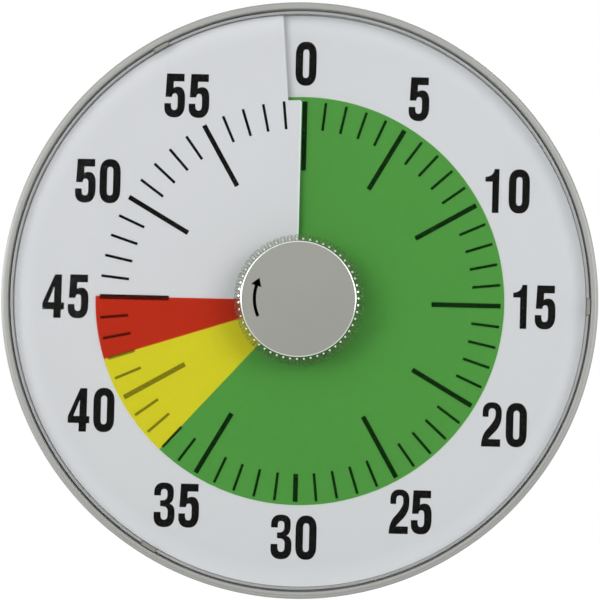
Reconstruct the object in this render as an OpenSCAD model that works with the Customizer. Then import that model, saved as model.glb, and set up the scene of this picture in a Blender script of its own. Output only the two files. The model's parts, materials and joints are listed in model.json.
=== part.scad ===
// Visual countdown timer: a round wall timer with magnets on its back.
// Turning the front knob clockwise winds a coloured film out of a slit in the
// dial, and the hour movement then takes it back, one turn in sixty minutes.
//
// Dial and film are helical sheets of the same pitch. Every module is drawn in
// the timer's own frame: x to the right, y to twelve o'clock, z from the flat
// back to the viewer. upright() stands it up: +Z up and the face towards -Y.
// Angles round the dial are clockwise from twelve o'clock, as minutes are read.

/* [Case] */
// Outside diameter of the case
case_d = 190; // [186:1:230]
// Thickness of the case's side wall
side_wall = 2.35; // [1.8:0.05:3]
// Radius of the outer edge of the rim
rim_round = 1.5; // [0.5:0.1:1.7]
// Height of the rim above the lens
rim_proud = 0.6; // [0.4:0.1:2]
// Width of the ledge that the lens and the chassis plate meet on
ledge_w = 1.5; // [1:0.1:1.8]
// Thickness of that ledge
ledge_t = 1; // [0.8:0.1:2]
// Length along the rim of each tab that keeps the lens in
tab_length = 5.8; // [3:0.1:12]
// Gap between a tab and the front of the lens
tab_gap = 0.05; // [0.02:0.01:0.2]
// Depth of a tab's front below the front of the rim
tab_step = 0.15; // [0.05:0.05:0.25]

/* [Lens] */
// Thickness of the clear front pane
lens_t = 1.5; // [1:0.1:2.5]
// Thickness of the wall that runs back from the pane's edge
lens_wall_t = 0.9; // [0.8:0.1:1.5]
// Gap between the lens and the case
lens_gap = 0.5; // [0.2:0.05:0.8]
// Gap between the film at sixty minutes and the lens
lens_clear = 2.75; // [2:0.05:5]

/* [Dial] */
// Rise of the dial and of the film in one turn
helix_pitch = 3.6; // [3:0.1:6]
// Thickness of the white dial sheet
sheet_t = 0.5; // [0.3:0.05:0.8]
// Gap between the edge of the dial and the lens wall
sheet_gap = 0.25; // [0.15:0.05:0.6]
// Diameter of the step in the dial's cut
step_d = 128; // [110:1:140]
// Angle from twelve o'clock back to the cut in the outer ring
ring_cut = 4.7; // [3:0.1:8]
// Distance of the inner cut from the twelve o'clock line
slit_offset = 0.9; // [0.4:0.1:1.5]
// Radius of the corner where the two cuts meet
step_round = 1; // [0.4:0.1:2]
// Angle by which the low end of the dial runs on under the high end
tuck_angle = 6; // [3:0.5:12]
// Width of the ring of support under the dial's rim
support_w = 20; // [12:0.5:22]
// Wall thickness of that support
support_wall = 1.4; // [1:0.1:2]

/* [Film] */
// Minutes that the film shows
minutes_set = 45; // [0:1:60]
// Diameter of the coloured film
film_d = 130.4; // [112:0.2:142]
// Thickness of the coloured film
film_t = 0.3; // [0.2:0.05:0.4]
// Height of the film above the dial, middle to middle
film_gap = 0.5; // [0.45:0.05:1]
// Gap between the film at zero and the chassis plate
film_clear = 0.65; // [0.6:0.05:2]
// Diameter of the film's hub
hub_d = 16.4; // [14:0.2:20]
// How far the hub reaches past the film at each end
hub_margin = 0.3; // [0.1:0.05:0.5]

/* [Knob] */
// Diameter of the clear skirt at its foot
knob_foot_d = 42; // [38:0.5:48]
// Diameter of the clear skirt at its top
knob_top_d = 38.8; // [36:0.2:40]
// Height of the clear skirt
knob_h = 11; // [9:0.5:16]
// Wall thickness of the skirt
knob_wall = 2; // [1.6:0.1:3]
// Number of flutes round the skirt
flutes = 55; // [24:1:60]
// Depth of the flutes
flute_depth = 0.45; // [0.2:0.05:0.6]
// Diameter of the metal cap
cap_d = 37; // [30:0.2:37]
// Gap between the cap and the well that it sits in
cap_gap = 0.1; // [0.05:0.05:0.2]
// Thickness of the metal cap
cap_t = 3; // [2:0.1:4]
// Radius of the cap's polished edge
cap_round = 0.9; // [0.3:0.1:1.2]
// Depth of the cap's flat seat below the top of the skirt
cap_seat = 2.6; // [1.6:0.1:3]
// Thickness of the web under the cap
web_t = 1.6; // [1.2:0.1:3]
// Diameter of the hub inside the knob
knob_hub_d = 12; // [9:0.5:16]
// Gap between the knob and the bush
knob_gap = 0.4; // [0.2:0.05:1]

/* [Shaft] */
// Diameter of the shaft where it turns in the front bush
shaft_d = 6; // [5:0.1:6.4]
// Radial gap of a shaft in its bearing
run_gap = 0.05; // [0.02:0.01:0.1]
// Gap between a square shaft and its hole, on each side
square_gap = 0.1; // [0.05:0.01:0.2]
// Square of the shaft inside the knob
knob_square = 4.2; // [3.2:0.1:4.2]
// Diameter of the collar that carries the centre wheel
collar_d = 9; // [8.4:0.1:10]
// Diameter of the shaft's rear pivot
pivot_d = 4; // [3:0.1:5]
// Diameter of the front bush in the lens
bush_d = 9.9; // [9:0.1:11]
// Diameter of the bush's flange
bush_flange_d = 15; // [13:0.5:18]
// Thickness of the bush's flange
bush_flange_t = 0.8; // [0.6:0.1:1.2]
// Width across the flats of the bush's nut
nut_flats = 14; // [13:0.5:18]
// Thickness of the bush's nut
nut_t = 1.3; // [1:0.1:1.4]

/* [Rear cover] */
// Thickness of the rear cover
cover_t = 2; // [1.8:0.1:3]
// Depth inside the case, from the rear cover to the chassis plate
inner_depth = 15; // [14.8:0.1:20]
// Thickness of the chassis plate
chassis_t = 2; // [1.6:0.1:3]
// Gap between the chassis plate and the case
chassis_gap = 0.3; // [0.2:0.05:0.6]
// Height of the ring that centres the cover in the case
spigot_h = 4; // [2:0.5:8]
// Thickness of that ring
spigot_t = 1; // [0.8:0.1:1.4]
// Distance of the cover screws in from the side wall
screw_inset = 9.1; // [8:0.1:12]
// Angle of the cover screws above and below the middle
screw_angle = 21; // [17:1:30]
// Diameter of the cover screws
screw_d = 2.4; // [2:0.1:3]
// Diameter of the cover screws' heads
screw_head_d = 5.6; // [4.6:0.1:6]
// Length of the cover screws below the head
screw_length = 10.8; // [8:0.2:12]
// Diameter of the screw posts
post_d = 7; // [6:0.1:8]

/* [Magnets and hanger] */
// Diameter of each magnet
magnet_d = 18; // [12:0.5:20]
// Thickness of each magnet
magnet_t = 3; // [2:0.1:4]
// Distance of the magnets in from the side wall
magnet_inset = 19.1; // [16:0.1:24]
// Distance of the hanging hole below the side wall's top
hanger_inset = 24.65; // [22:0.05:28]
// Diameter of the hole that passes a screw's head
hanger_d = 9; // [8:0.1:10]
// Width of the slot above it
hanger_slot_w = 4.4; // [4.2:0.1:5]
// Rise of the slot above the middle of the hole
hanger_slot_h = 9; // [7:0.5:10]
// Depth of the pocket behind the hanging hole
hanger_depth = 7; // [5:0.5:9]

/* [Battery] */
// Diameter of the cell
cell_d = 14.2; // [13.8:0.1:14.4]
// Length of the cell with its contact cap
cell_length = 50.5; // [49.5:0.1:50.5]
// Distance of the cell below the middle
cell_drop = 52; // [50:0.5:54]
// Gap round the cell
cell_gap = 0.4; // [0.3:0.05:0.8]
// Thickness of the battery door
door_t = 1.7; // [1.3:0.05:1.8]
// Gap round the battery door
door_gap = 0.3; // [0.25:0.05:0.5]
// Diameter of the door's hinge pins
hinge_pin_d = 1.2; // [0.8:0.05:1.3]
// Length of the door's hinge pins
hinge_pin_length = 1.6; // [1:0.1:3]
// Length of the squeezed contact spring
spring_length = 3.2; // [2.6:0.1:5]
// Diameter of the contact spring
spring_d = 8; // [6:0.1:10]
// Diameter of the spring's wire
spring_wire = 0.6; // [0.4:0.05:0.7]

/* [Movement] */
// Teeth of the centre wheel
centre_teeth = 64; // [56:8:64]
// Teeth of the third wheel
third_teeth = 60; // [56:4:60]
// Teeth of each pinion
pinion_teeth = 8; // [8:1:8]
// Module of the centre wheel's teeth
centre_module = 0.5; // [0.45:0.01:0.5]
// Module of the third wheel's teeth
third_module = 0.4; // [0.36:0.01:0.4]
// Share of the pitch that a tooth fills
tooth_share = 0.36; // [0.3:0.01:0.38]
// Thickness of the wheels
wheel_t = 1.2; // [0.8:0.1:1.3]
// Diameter of the third wheel's arbor
arbor_d = 1.5; // [1:0.1:1.8]
// Diameter of the rotor's arbor
rotor_arbor_d = 1; // [0.8:0.1:1.2]
// Diameter of the rotor magnet
rotor_d = 6.4; // [5:0.1:6.6]
// Wall thickness of the movement's case
movement_wall = 1.2; // [1:0.1:1.5]

/* [Circuit] */
// Width of the circuit board
board_w = 40; // [36:0.5:40]
// Height of the circuit board
board_h = 40; // [36:0.5:44]
// Distance of the board's edge in from the side wall
board_inset = 15.65; // [12:0.05:17]
// Travel of the sound switch
switch_travel = 3; // [2:0.1:3.4]
// Diameter of the sounder
sounder_d = 20; // [16:0.5:24]
// Distance of the sounder in from the side wall
sounder_inset = 36.65; // [30:0.05:40]
// Diameter of each sound hole
sound_hole_d = 1.6; // [1:0.1:2.4]
// Diameter of the ring of sound holes
sound_ring_d = 9; // [6:0.5:12]

/* [Hidden] */

$fn = 96;
// A hair's overlap for cuts that pass right through a wall
eps = 0.01;
// Degrees between the columns of a helical sheet
column_step = 2;

// Levels, from the flat back to the viewer
z_chassis = cover_t + inner_depth;
z_deck = z_chassis + chassis_t;
z_dial_low = z_deck + film_clear + film_t / 2 + helix_pitch - film_gap;
z_film_top = z_dial_low + helix_pitch + film_gap + film_t / 2;
z_pane = z_film_top + lens_clear;
z_lens = z_pane + lens_t;
z_rim = z_lens + rim_proud;
z_bush_back = z_pane - nut_t - 0.2;
z_knob = z_lens + bush_flange_t + knob_gap;
z_skirt_top = z_knob + knob_h;
z_cap_seat = z_skirt_top - cap_seat;

// Radii, from the outside in
case_r = case_d / 2;
bore_r = case_r - side_wall;
lens_r = bore_r - lens_gap;
lens_inner_r = lens_r - lens_wall_t;
sheet_r = lens_inner_r - sheet_gap;
ledge_r = bore_r - ledge_w;
chassis_r = bore_r - chassis_gap;
magnet_pitch = (bore_r - magnet_inset) * sqrt(2);
hanger_y = bore_r - hanger_inset;
sounder_right = bore_r - sounder_inset;
board_left = bore_r - board_inset - board_w / 2;
step_r = step_d / 2;
film_r = film_d / 2;
hub_r = hub_d / 2;
sheet_hole_r = hub_r + 0.5;
film_hole_r = hub_r + run_gap;

// The film's leading edge, in degrees clockwise from twelve o'clock
film_angle = minutes_set * 6;
film_back = film_angle - 360;

// Movement: levels inside its case
z_mov_back = cover_t + 1;
z_mov_floor = z_mov_back + movement_wall;
lid_t = 1.2;
z_lid = z_chassis - lid_t;
z_rotor = z_mov_floor + 2.7;
z_stator = z_rotor + 0.5;
stator_t = 0.8;
rotor_t = 1.8;
z_third = z_rotor + 3.3;
third_t = 1;
z_third_pinion = z_third + 1.8;
z_centre = z_third_pinion + 0.6;
collar_t = 1;
clutch_t = 0.7;
clip_t = 0.6;
// Arbor places: the third wheel up and to the right, the rotor above both
third_distance = centre_module * (centre_teeth + pinion_teeth) / 2;
rotor_distance = third_module * (third_teeth + pinion_teeth) / 2;
third_at = third_distance * [cos(45), sin(45)];
rotor_at = third_at + rotor_distance * [cos(135), sin(135)];
// Inside of the movement's case: left, right, bottom, top
mov_left = -24;
mov_right = third_at.x + third_module * third_teeth / 2 + 1.8;
mov_bottom = -centre_module * centre_teeth / 2 - 1.6;
mov_top = rotor_at.y + 7.6;
ear_w = 7;
ear_screw_r = 1.1;

// Battery bay and door
bay_half_w = cell_d / 2 + cell_gap;
bay_x0 = -cell_length / 2 - spring_length;
plate_t = 0.4;
bay_x1 = cell_length / 2 + plate_t + 0.1;
bay_wall = 1.2;
z_cell = z_chassis - cell_gap - cell_d / 2;
door_recess = (cover_t - door_t) / 2;
z_hinge = door_recess + door_t / 2;
y_hinge = -cell_drop + bay_half_w - door_gap - door_t / 2;

// Circuit board
board_t = 1.6;
z_board = cover_t + 6;
stake_r = 0.95;
stake_x = board_w / 2 - 3.5;
stake_y = board_h / 2 - 3.5;
switch_y = -6;
slider_w = 4;
slider_h = 2.2;
switch_gap = 0.3;
sounder_t = 3.6;
sounder_port_d = 2;

// Cover screws
pad_t = 2;
head_sink = 2.2;
screw_r = screw_d / 2;
screw_at = [for (sx = [-1, 1], sy = [-1, 1])
    (bore_r - screw_inset) * [sx * cos(screw_angle), sy * sin(screw_angle)]];

// Colours
silver = [0.63, 0.63, 0.60];
clear = [0.85, 0.90, 0.92, 0.35];
white = [0.88, 0.89, 0.90];
grey_plastic = [0.45, 0.46, 0.47];
steel = [0.72, 0.72, 0.73];
brass = [0.78, 0.62, 0.30];
copper = [0.75, 0.42, 0.22];

// ---- Helpers ----

// Point at radius r and clockwise angle a
function pol(r, a) = [r * sin(a), r * cos(a)];
// Height of the dial's middle surface at angle a
function dial_z(a) = z_dial_low + helix_pitch * a / 360;
// Height of the film's middle surface at angle a
function film_z(a) = dial_z(a) + film_gap;
// Angles from a0 to a1 in even steps no wider than column_step
function steps(a0, a1) = let (n = ceil((a1 - a0) / column_step))
    [for (i = [0:n]) a0 + (a1 - a0) * i / n];
// Cross-section of a helical sheet at angle a: four corners
function slat(a, r0, r1, z, t) = let (p = pol(r0, a), q = pol(r1, a))
    [[p.x, p.y, z - t / 2], [p.x, p.y, z + t / 2],
     [q.x, q.y, z + t / 2], [q.x, q.y, z - t / 2]];

module upright() { rotate([90, 0, 0]) children(); }

// Solid through a row of equal cross-sections
module skin(rings) {
    n = len(rings[0]);
    m = len(rings);
    polyhedron(
        points = [for (ring = rings) each ring],
        faces = [
            [for (j = [n - 1:-1:0]) j],
            [for (j = [0:n - 1]) (m - 1) * n + j],
            for (i = [0:m - 2], j = [0:n - 1]) let (k = (j + 1) % n)
                each [[i * n + j, i * n + k, (i + 1) * n + k],
                      [i * n + j, (i + 1) * n + k, (i + 1) * n + j]]]);
}

// Plain ring between two radii and two levels
module ring(r0, r1, z0, z1) {
    translate([0, 0, z0]) difference() {
        cylinder(r = r1, h = z1 - z0);
        translate([0, 0, -eps]) cylinder(r = r0, h = z1 - z0 + 2 * eps);
    }
}

// Cylinder between two levels
module rod(r, z0, z1) { translate([0, 0, z0]) cylinder(r = r, h = z1 - z0); }

// Box between two corners
module box(a, b) { translate(a) cube(b - a); }

// Involute of an angle in degrees
function inv(a) = tan(a) * 180 / PI - a;
// Half of a tooth's angle at radius r
function tooth_half(r, rp, thick) = let (rb = rp * cos(20), a = r > rb ? acos(rb / r) : 0)
    thick / (2 * rp) * 180 / PI + inv(20) - inv(a);
// Outline of a gear: each tooth has three steps up one flank and three down the other
function gear_outline(n, m) = let (rp = m * n / 2, r0 = rp - 1.15 * m, r1 = rp + 0.85 * m)
    [for (i = [0:n - 1], s = [-1, 1], q = [0:3])
        let (r = r0 + (r1 - r0) * (s < 0 ? q : 3 - q) / 3,
             a = 360 * i / n + s * tooth_half(r, rp, PI * m * tooth_share))
        [r * cos(a), r * sin(a)]];
// Gear with its first tooth at angle a from the x axis
module gear(n, m, z0, z1, a) {
    translate([0, 0, z0]) rotate(a) linear_extrude(z1 - z0) polygon(gear_outline(n, m));
}

// ---- Case ----

module front_housing() {
    tab_half = tab_length / (2 * lens_r) * 180 / PI;
    color(silver) {
        rotate_extrude($fn = 180) {
            // Side wall with a rounded outer rim
            translate([bore_r, cover_t]) square([side_wall, z_rim - rim_round - cover_t]);
            translate([bore_r, z_rim - rim_round - eps])
                square([side_wall - rim_round, rim_round + eps]);
            translate([case_r - rim_round, z_rim - rim_round]) intersection() {
                circle(r = rim_round);
                square(rim_round);
            }
            // Ledge between the lens and the chassis plate
            translate([ledge_r, z_deck]) square([ledge_w + eps, ledge_t]);
        }
        // Three tabs over the edge of the lens
        for (a = [90, 210, 330])
            translate([0, 0, z_lens + tab_gap]) linear_extrude(rim_proud - tab_gap - tab_step)
                polygon([pol(bore_r + 0.2, a - tab_half - 0.35), pol(lens_inner_r, a - tab_half),
                         pol(lens_inner_r, a), pol(lens_inner_r, a + tab_half),
                         pol(bore_r + 0.2, a + tab_half + 0.35)]);
    }
}

module lens() {
    color(clear) rotate_extrude($fn = 180) {
        translate([bush_d / 2 + run_gap, z_pane])
            square([lens_r - bush_d / 2 - run_gap, lens_t]);
        translate([lens_inner_r, z_deck + ledge_t])
            square([lens_wall_t, z_pane - z_deck - ledge_t + eps]);
    }
}

// Opening of the battery bay in the cover's plane
module bay_plan(grow = 0) {
    translate([bay_x0 - grow, -cell_drop - bay_half_w - grow])
        square([bay_x1 - bay_x0 + 2 * grow, 2 * (bay_half_w + grow)]);
}

module rear_cover() {
    chamfer = 0.6;
    magnet_cup_r = magnet_d / 2 + 1.5;
    hanger_wall = 1.2;
    hanger_half_w = hanger_d / 2 + 1;
    slot_top = hanger_y + hanger_slot_h;
    scoop_r = 7;
    color(silver) difference() {
        union() {
            rotate_extrude($fn = 180) {
                polygon([[0, 0], [case_r - chamfer, 0], [case_r, chamfer],
                         [case_r, cover_t], [0, cover_t]]);
                translate([chassis_r - spigot_t, cover_t - eps]) square([spigot_t, spigot_h + eps]);
            }
            for (p = screw_at) translate(p) rod(post_d / 2 + 1, cover_t - eps, cover_t + pad_t);
            for (sx = [-1, 1], sy = [-1, 1])
                translate([sx, sy] * magnet_pitch / 2)
                    rod(magnet_cup_r, cover_t - eps, magnet_t + 1.2);
            // Box behind the hanging hole
            box([-hanger_half_w - hanger_wall, hanger_y - hanger_half_w - hanger_wall, cover_t - eps],
                [hanger_half_w + hanger_wall, slot_top + hanger_slot_w / 2 + 1 + hanger_wall,
                 cover_t + hanger_depth + hanger_wall]);
            // Walls round the battery
            translate([0, 0, cover_t - eps]) linear_extrude(inner_depth - 0.2 + eps) bay_plan(bay_wall);
            // Ring that holds the sounder
            translate([sounder_right, 0, 0])
                rod(sounder_d / 2 + 1.5, cover_t - eps, cover_t + 4);
        }
        // Counterbored screw holes
        for (p = screw_at) translate(p) {
            rod(screw_head_d / 2 + 0.3, -eps, head_sink);
            rod(screw_r + 0.2, -eps, cover_t + pad_t + eps);
        }
        // Pockets for the magnets
        for (sx = [-1, 1], sy = [-1, 1])
            translate([sx, sy] * magnet_pitch / 2) rod(magnet_d / 2 + run_gap, -eps, magnet_t + 0.1);
        // Hanging hole, its slot and the pocket behind them
        translate([0, hanger_y, 0]) rod(hanger_d / 2, -eps, cover_t + eps);
        box([-hanger_slot_w / 2, hanger_y, -eps], [hanger_slot_w / 2, slot_top, cover_t + eps]);
        translate([0, slot_top, 0]) rod(hanger_slot_w / 2, -eps, cover_t + eps);
        box([-hanger_half_w, hanger_y - hanger_half_w, cover_t],
            [hanger_half_w, slot_top + hanger_slot_w / 2 + 1, cover_t + hanger_depth]);
        // Battery bay, hinge holes and a thumb scoop at the door's free edge
        translate([0, 0, -eps]) linear_extrude(z_chassis) bay_plan();
        translate([bay_x0 - hinge_pin_length, y_hinge, z_hinge]) rotate([0, 90, 0])
            cylinder(r = hinge_pin_d / 2 + run_gap, h = bay_x1 - bay_x0 + 2 * hinge_pin_length);
        translate([(bay_x0 + bay_x1) / 2, -cell_drop - bay_half_w, -eps]) cylinder(r = scoop_r, h = 1);
        // Sounder seat and its sound holes
        translate([sounder_right, 0, 0]) {
            rod(sounder_d / 2 + 0.1, cover_t, cover_t + 4 + eps);
            for (i = [0:6]) translate(i == 0 ? [0, 0] : pol(sound_ring_d / 2, i * 60))
                rod(sound_hole_d / 2, -eps, cover_t + eps);
        }
        // Slot for the sound switch
        box([-board_left - slider_w / 2 - switch_travel - switch_gap,
             switch_y - slider_h / 2 - switch_gap, -eps],
            [-board_left + slider_w / 2 + switch_gap,
             switch_y + slider_h / 2 + switch_gap, cover_t + eps]);
    }
}

module battery_door() {
    x0 = bay_x0 + door_gap;
    x1 = bay_x1 - door_gap;
    y0 = -cell_drop - bay_half_w + door_gap;
    grip_w = 16;
    color(silver) difference() {
        union() {
            box([x0, y0, door_recess], [x1, y_hinge, door_recess + door_t]);
            translate([x0, y_hinge, z_hinge]) rotate([0, 90, 0]) cylinder(r = door_t / 2, h = x1 - x0);
            translate([x0 - hinge_pin_length, y_hinge, z_hinge]) rotate([0, 90, 0])
                cylinder(r = hinge_pin_d / 2, h = x1 - x0 + 2 * hinge_pin_length);
        }
        // Grip lines near the free edge
        for (i = [0:2])
            box([(x0 + x1 - grip_w) / 2, y0 + 1.6 + i * 1.4, -eps],
                [(x0 + x1 + grip_w) / 2, y0 + 2.2 + i * 1.4, door_recess + 0.4]);
    }
}

module cover_screws() {
    color(steel) for (p = screw_at) translate(p) difference() {
        union() {
            rod(screw_head_d / 2, head_sink - 1.8, head_sink);
            rod(screw_r, head_sink - eps, head_sink + screw_length);
        }
        for (a = [0, 90]) rotate(a)
            box([-1.6, -0.3, head_sink - 1.8 - eps], [1.6, 0.3, head_sink - 0.8]);
    }
}

module magnet(sx, sy) {
    color(steel) translate([sx, sy] * magnet_pitch / 2) rod(magnet_d / 2, 0.1, magnet_t + 0.1);
}

// ---- Chassis, dial and film ----

module chassis_plate() {
    pilot_r = screw_r + run_gap;
    color(grey_plastic) difference() {
        union() {
            rod(chassis_r, z_chassis, z_deck, $fn = 180);
            for (p = screw_at) translate(p) rod(post_d / 2, cover_t + pad_t, z_chassis + eps);
            // Posts and stakes for the circuit board
            for (sx = [-1, 1], sy = [-1, 1])
                translate([sx * stake_x - board_left, sy * stake_y]) {
                    rod(2.2, z_board + board_t, z_chassis + eps);
                    rod(stake_r, z_board - 0.2, z_board + board_t + eps);
                    rod(1.6, z_board - 0.8, z_board);
                }
        }
        for (p = screw_at) translate(p) rod(pilot_r, cover_t + pad_t - eps, z_chassis - 3);
        rod(collar_d / 2 + 0.2, z_chassis - eps, z_deck + eps);
        for (p = ear_screws()) translate(p) rod(ear_screw_r + run_gap, z_chassis - eps, z_deck - 0.4);
    }
}

module dial_sheet() {
    // The last columns follow the inner cut and round its corner
    cut_r = function (a) slit_offset / sin(360 - a);
    corner_x = slit_offset + step_round;
    full = [for (a = steps(-tuck_angle, 360 - ring_cut)) [a, sheet_r]];
    inner = [for (a = steps(360.2 - ring_cut, 360 - asin(corner_x / step_r))) [a, step_r]];
    corner = [for (t = [20:20:80])
        let (x = corner_x - step_round * sin(t), r = step_r - step_round * (1 - cos(t)))
        [360 - asin(x / r), r]];
    color(white) skin([for (c = concat(full, inner, corner))
        slat(c[0], c[0] > 354 - tuck_angle ? max(sheet_hole_r, cut_r(c[0])) : sheet_hole_r,
             c[1], dial_z(c[0]), sheet_t)]);
}

module dial_support() {
    r1 = sheet_r - 0.3;
    r0 = r1 - support_w;
    w = support_wall;
    // Inverted channel: its top follows the dial, its two walls stand on the deck
    color(white) skin([for (a = steps(1.5 - tuck_angle, 358.4 - ring_cut))
        let (zt = dial_z(a) - sheet_t / 2 - 0.05)
        [for (c = [[r0, z_deck], [r0, zt], [r1, zt], [r1, z_deck],
                   [r1 - w, z_deck], [r1 - w, zt - w], [r0 + w, zt - w], [r0 + w, z_deck]])
            let (p = pol(c[0], a)) [p.x, p.y, c[1]]]]);
}

module colour_film() {
    color([0.16, 0.55, 0.16]) skin([for (a = steps(film_back, film_angle))
        slat(a, film_hole_r, film_r, film_z(a), film_t)]);
}

// Side of the square on the shaft that drives the hub
drive_square = shaft_d;

module film_hub() {
    color(white) difference() {
        rod(hub_r, film_z(film_back) - film_t / 2 - hub_margin, film_z(film_angle) + film_t / 2 + hub_margin);
        linear_extrude(z_pane) square(drive_square + 2 * square_gap, center = true);
    }
}

// ---- Shaft and knob ----

module spindle() {
    r = shaft_d / 2;
    z_clip = z_centre + wheel_t + clutch_t;
    color(steel) difference() {
        union() {
            rod(pivot_d / 2, z_mov_back, z_mov_floor + 1);
            rod(r, z_mov_floor + 0.3, z_knob);
            rod(collar_d / 2, z_centre - collar_t, z_centre);
            translate([0, 0, z_deck + 0.2]) linear_extrude(z_bush_back - z_deck - 0.4)
                square(drive_square, center = true);
            translate([0, 0, z_knob - eps]) linear_extrude(z_cap_seat - 0.2 - z_knob + eps)
                square(knob_square, center = true);
        }
        ring(r - 0.4, collar_d, z_clip - 0.05, z_clip + clip_t + 0.05);
    }
}

module knob_skirt() {
    foot_r = knob_foot_d / 2;
    top_r = knob_top_d / 2;
    slant = atan((foot_r - top_r) / knob_h);
    flute_r = 0.9;
    z_web = z_cap_seat - web_t;
    // Radius of the skirt's outside at level z
    outer = function (z) foot_r - (foot_r - top_r) * (z - z_knob) / knob_h;
    color(clear) difference() {
        rotate_extrude() polygon([
            [0, z_knob], [knob_hub_d / 2, z_knob], [knob_hub_d / 2, z_web],
            [outer(z_web) - knob_wall, z_web], [foot_r - knob_wall, z_knob],
            [foot_r, z_knob], [top_r, z_skirt_top], [0, z_skirt_top]]);
        // Well for the cap: one wider than the skirt leaves no lip, and sits on it as a lid
        rod(cap_d / 2 + cap_gap, z_cap_seat, z_skirt_top + 1);
        for (i = [0:flutes - 1]) rotate(i * 360 / flutes)
            translate([foot_r, 0, z_knob]) rotate([0, -slant, 0])
                translate([flute_r - flute_depth, 0, -1])
                    cylinder(r = flute_r, h = knob_h + 3, $fn = 16);
        translate([0, 0, z_knob - eps]) linear_extrude(cap_seat + knob_h)
            square(knob_square + 2 * square_gap, center = true);
    }
}

module knob_cap() {
    r = cap_d / 2;
    color(silver) translate([0, 0, z_cap_seat]) rotate_extrude() {
        square([r - cap_round, cap_t]);
        square([r, cap_t - cap_round]);
        translate([r - cap_round, cap_t - cap_round]) intersection() {
            circle(r = cap_round);
            square(cap_round);
        }
    }
}

module front_bush() {
    color(white) difference() {
        union() {
            rod(bush_d / 2, z_bush_back, z_lens + eps);
            rod(bush_flange_d / 2, z_lens, z_lens + bush_flange_t);
        }
        rod(shaft_d / 2 + run_gap, z_bush_back - eps, z_knob);
    }
}

module bush_nut() {
    color(steel) difference() {
        translate([0, 0, z_pane - nut_t]) cylinder(d = nut_flats / cos(30), h = nut_t, $fn = 6);
        rod(bush_d / 2 + run_gap, z_bush_back - 1, z_pane + eps);
    }
}

module clutch_spring() {
    r0 = shaft_d / 2 + 0.1;
    z0 = z_centre + wheel_t;
    color(steel) rotate_extrude()
        polygon([[r0 + 3, z0], [r0 + 3, z0 + 0.25], [r0, z0 + clutch_t], [r0, z0 + clutch_t - 0.25]]);
}

module spindle_clip() {
    z0 = z_centre + wheel_t + clutch_t;
    r0 = shaft_d / 2 - 0.4 + run_gap;
    color(steel) difference() {
        ring(r0, shaft_d / 2 + 2, z0, z0 + clip_t);
        box([0, -r0 * 0.8, z0 - eps], [shaft_d, r0 * 0.8, z0 + clip_t + eps]);
    }
}

// ---- Movement ----

module centre_wheel() {
    rc = centre_module * centre_teeth / 2;
    hole_r = rc * 0.2;
    color(brass) difference() {
        gear(centre_teeth, centre_module, z_centre, z_centre + wheel_t, 45);
        rod(shaft_d / 2 + run_gap, z_centre - eps, z_centre + wheel_t + eps);
        for (i = [0:4]) translate(pol(rc * 0.62, i * 72 + 36))
            rod(hole_r, z_centre - eps, z_centre + wheel_t + eps);
    }
}

module third_wheel() {
    color(brass) translate(third_at) {
        rod(arbor_d / 2, z_mov_back + 0.2, z_chassis - 0.2);
        gear(pinion_teeth, centre_module, z_third_pinion, z_third_pinion + 2.6,
             225 + 180 / pinion_teeth);
        difference() {
            gear(third_teeth, third_module, z_third, z_third + third_t, 135);
            for (i = [0:4]) translate(pol(third_module * third_teeth * 0.3, i * 72))
                rod(third_module * third_teeth * 0.1, z_third - eps, z_third + third_t + eps);
        }
    }
}

module rotor() {
    color(white) translate(rotor_at) {
        rod(rotor_arbor_d / 2, z_mov_back + 0.2, z_chassis - 0.2);
        gear(pinion_teeth, third_module, z_third - 0.6, z_third + 1.6, 315 + 180 / pinion_teeth);
    }
}

module rotor_magnet() {
    color(grey_plastic) translate(rotor_at)
        ring(rotor_arbor_d / 2 + run_gap, rotor_d / 2, z_rotor, z_rotor + rotor_t);
}

// Middle line of the coil and of the stator limb that it is wound on
coil_y = rotor_at.y - rotor_d / 2;
limb_w = 2.2;
coil_clear = 5;
coil_x0 = mov_left + 4.6;
coil_x1 = rotor_at.x - rotor_d / 2 - coil_clear;
// How far the stator's yoke reaches past the rotor's axis, and its gap to the case
yoke_side = 8;
yoke_top = 6;
yoke_gap = 1;

module stator() {
    frame_top = rotor_at.y + yoke_top;
    left = mov_left + yoke_gap;
    window_left = left + 2.6;
    color(steel) translate([0, 0, z_stator]) linear_extrude(stator_t) difference() {
        translate([left, coil_y - limb_w / 2])
            square([rotor_at.x + yoke_side - left, frame_top - coil_y + limb_w / 2]);
        translate([window_left, coil_y + limb_w / 2])
            square([coil_x1 + 0.8 - window_left, frame_top - limb_w - coil_y - limb_w / 2]);
        translate(rotor_at) circle(r = rotor_d / 2 + 0.4);
    }
}

module coil_bobbin() {
    flange_r = 3.2;
    flange_t = 0.8;
    z = z_stator + stator_t / 2;
    color(grey_plastic) difference() {
        translate([coil_x0, coil_y, z]) rotate([0, 90, 0]) {
            rod(1.5, 0, coil_x1 - coil_x0);
            rod(flange_r, 0, flange_t);
            rod(flange_r, coil_x1 - coil_x0 - flange_t, coil_x1 - coil_x0);
        }
        box([coil_x0 - eps, coil_y - limb_w / 2 - 0.05, z - stator_t / 2 - 0.05],
            [coil_x1 + eps, coil_y + limb_w / 2 + 0.05, z + stator_t / 2 + 0.05]);
    }
}

module coil_winding() {
    color(copper) translate([coil_x0, coil_y, z_stator + stator_t / 2]) rotate([0, 90, 0])
        ring(1.55, 2.8, 0.85, coil_x1 - coil_x0 - 0.85);
}

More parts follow.
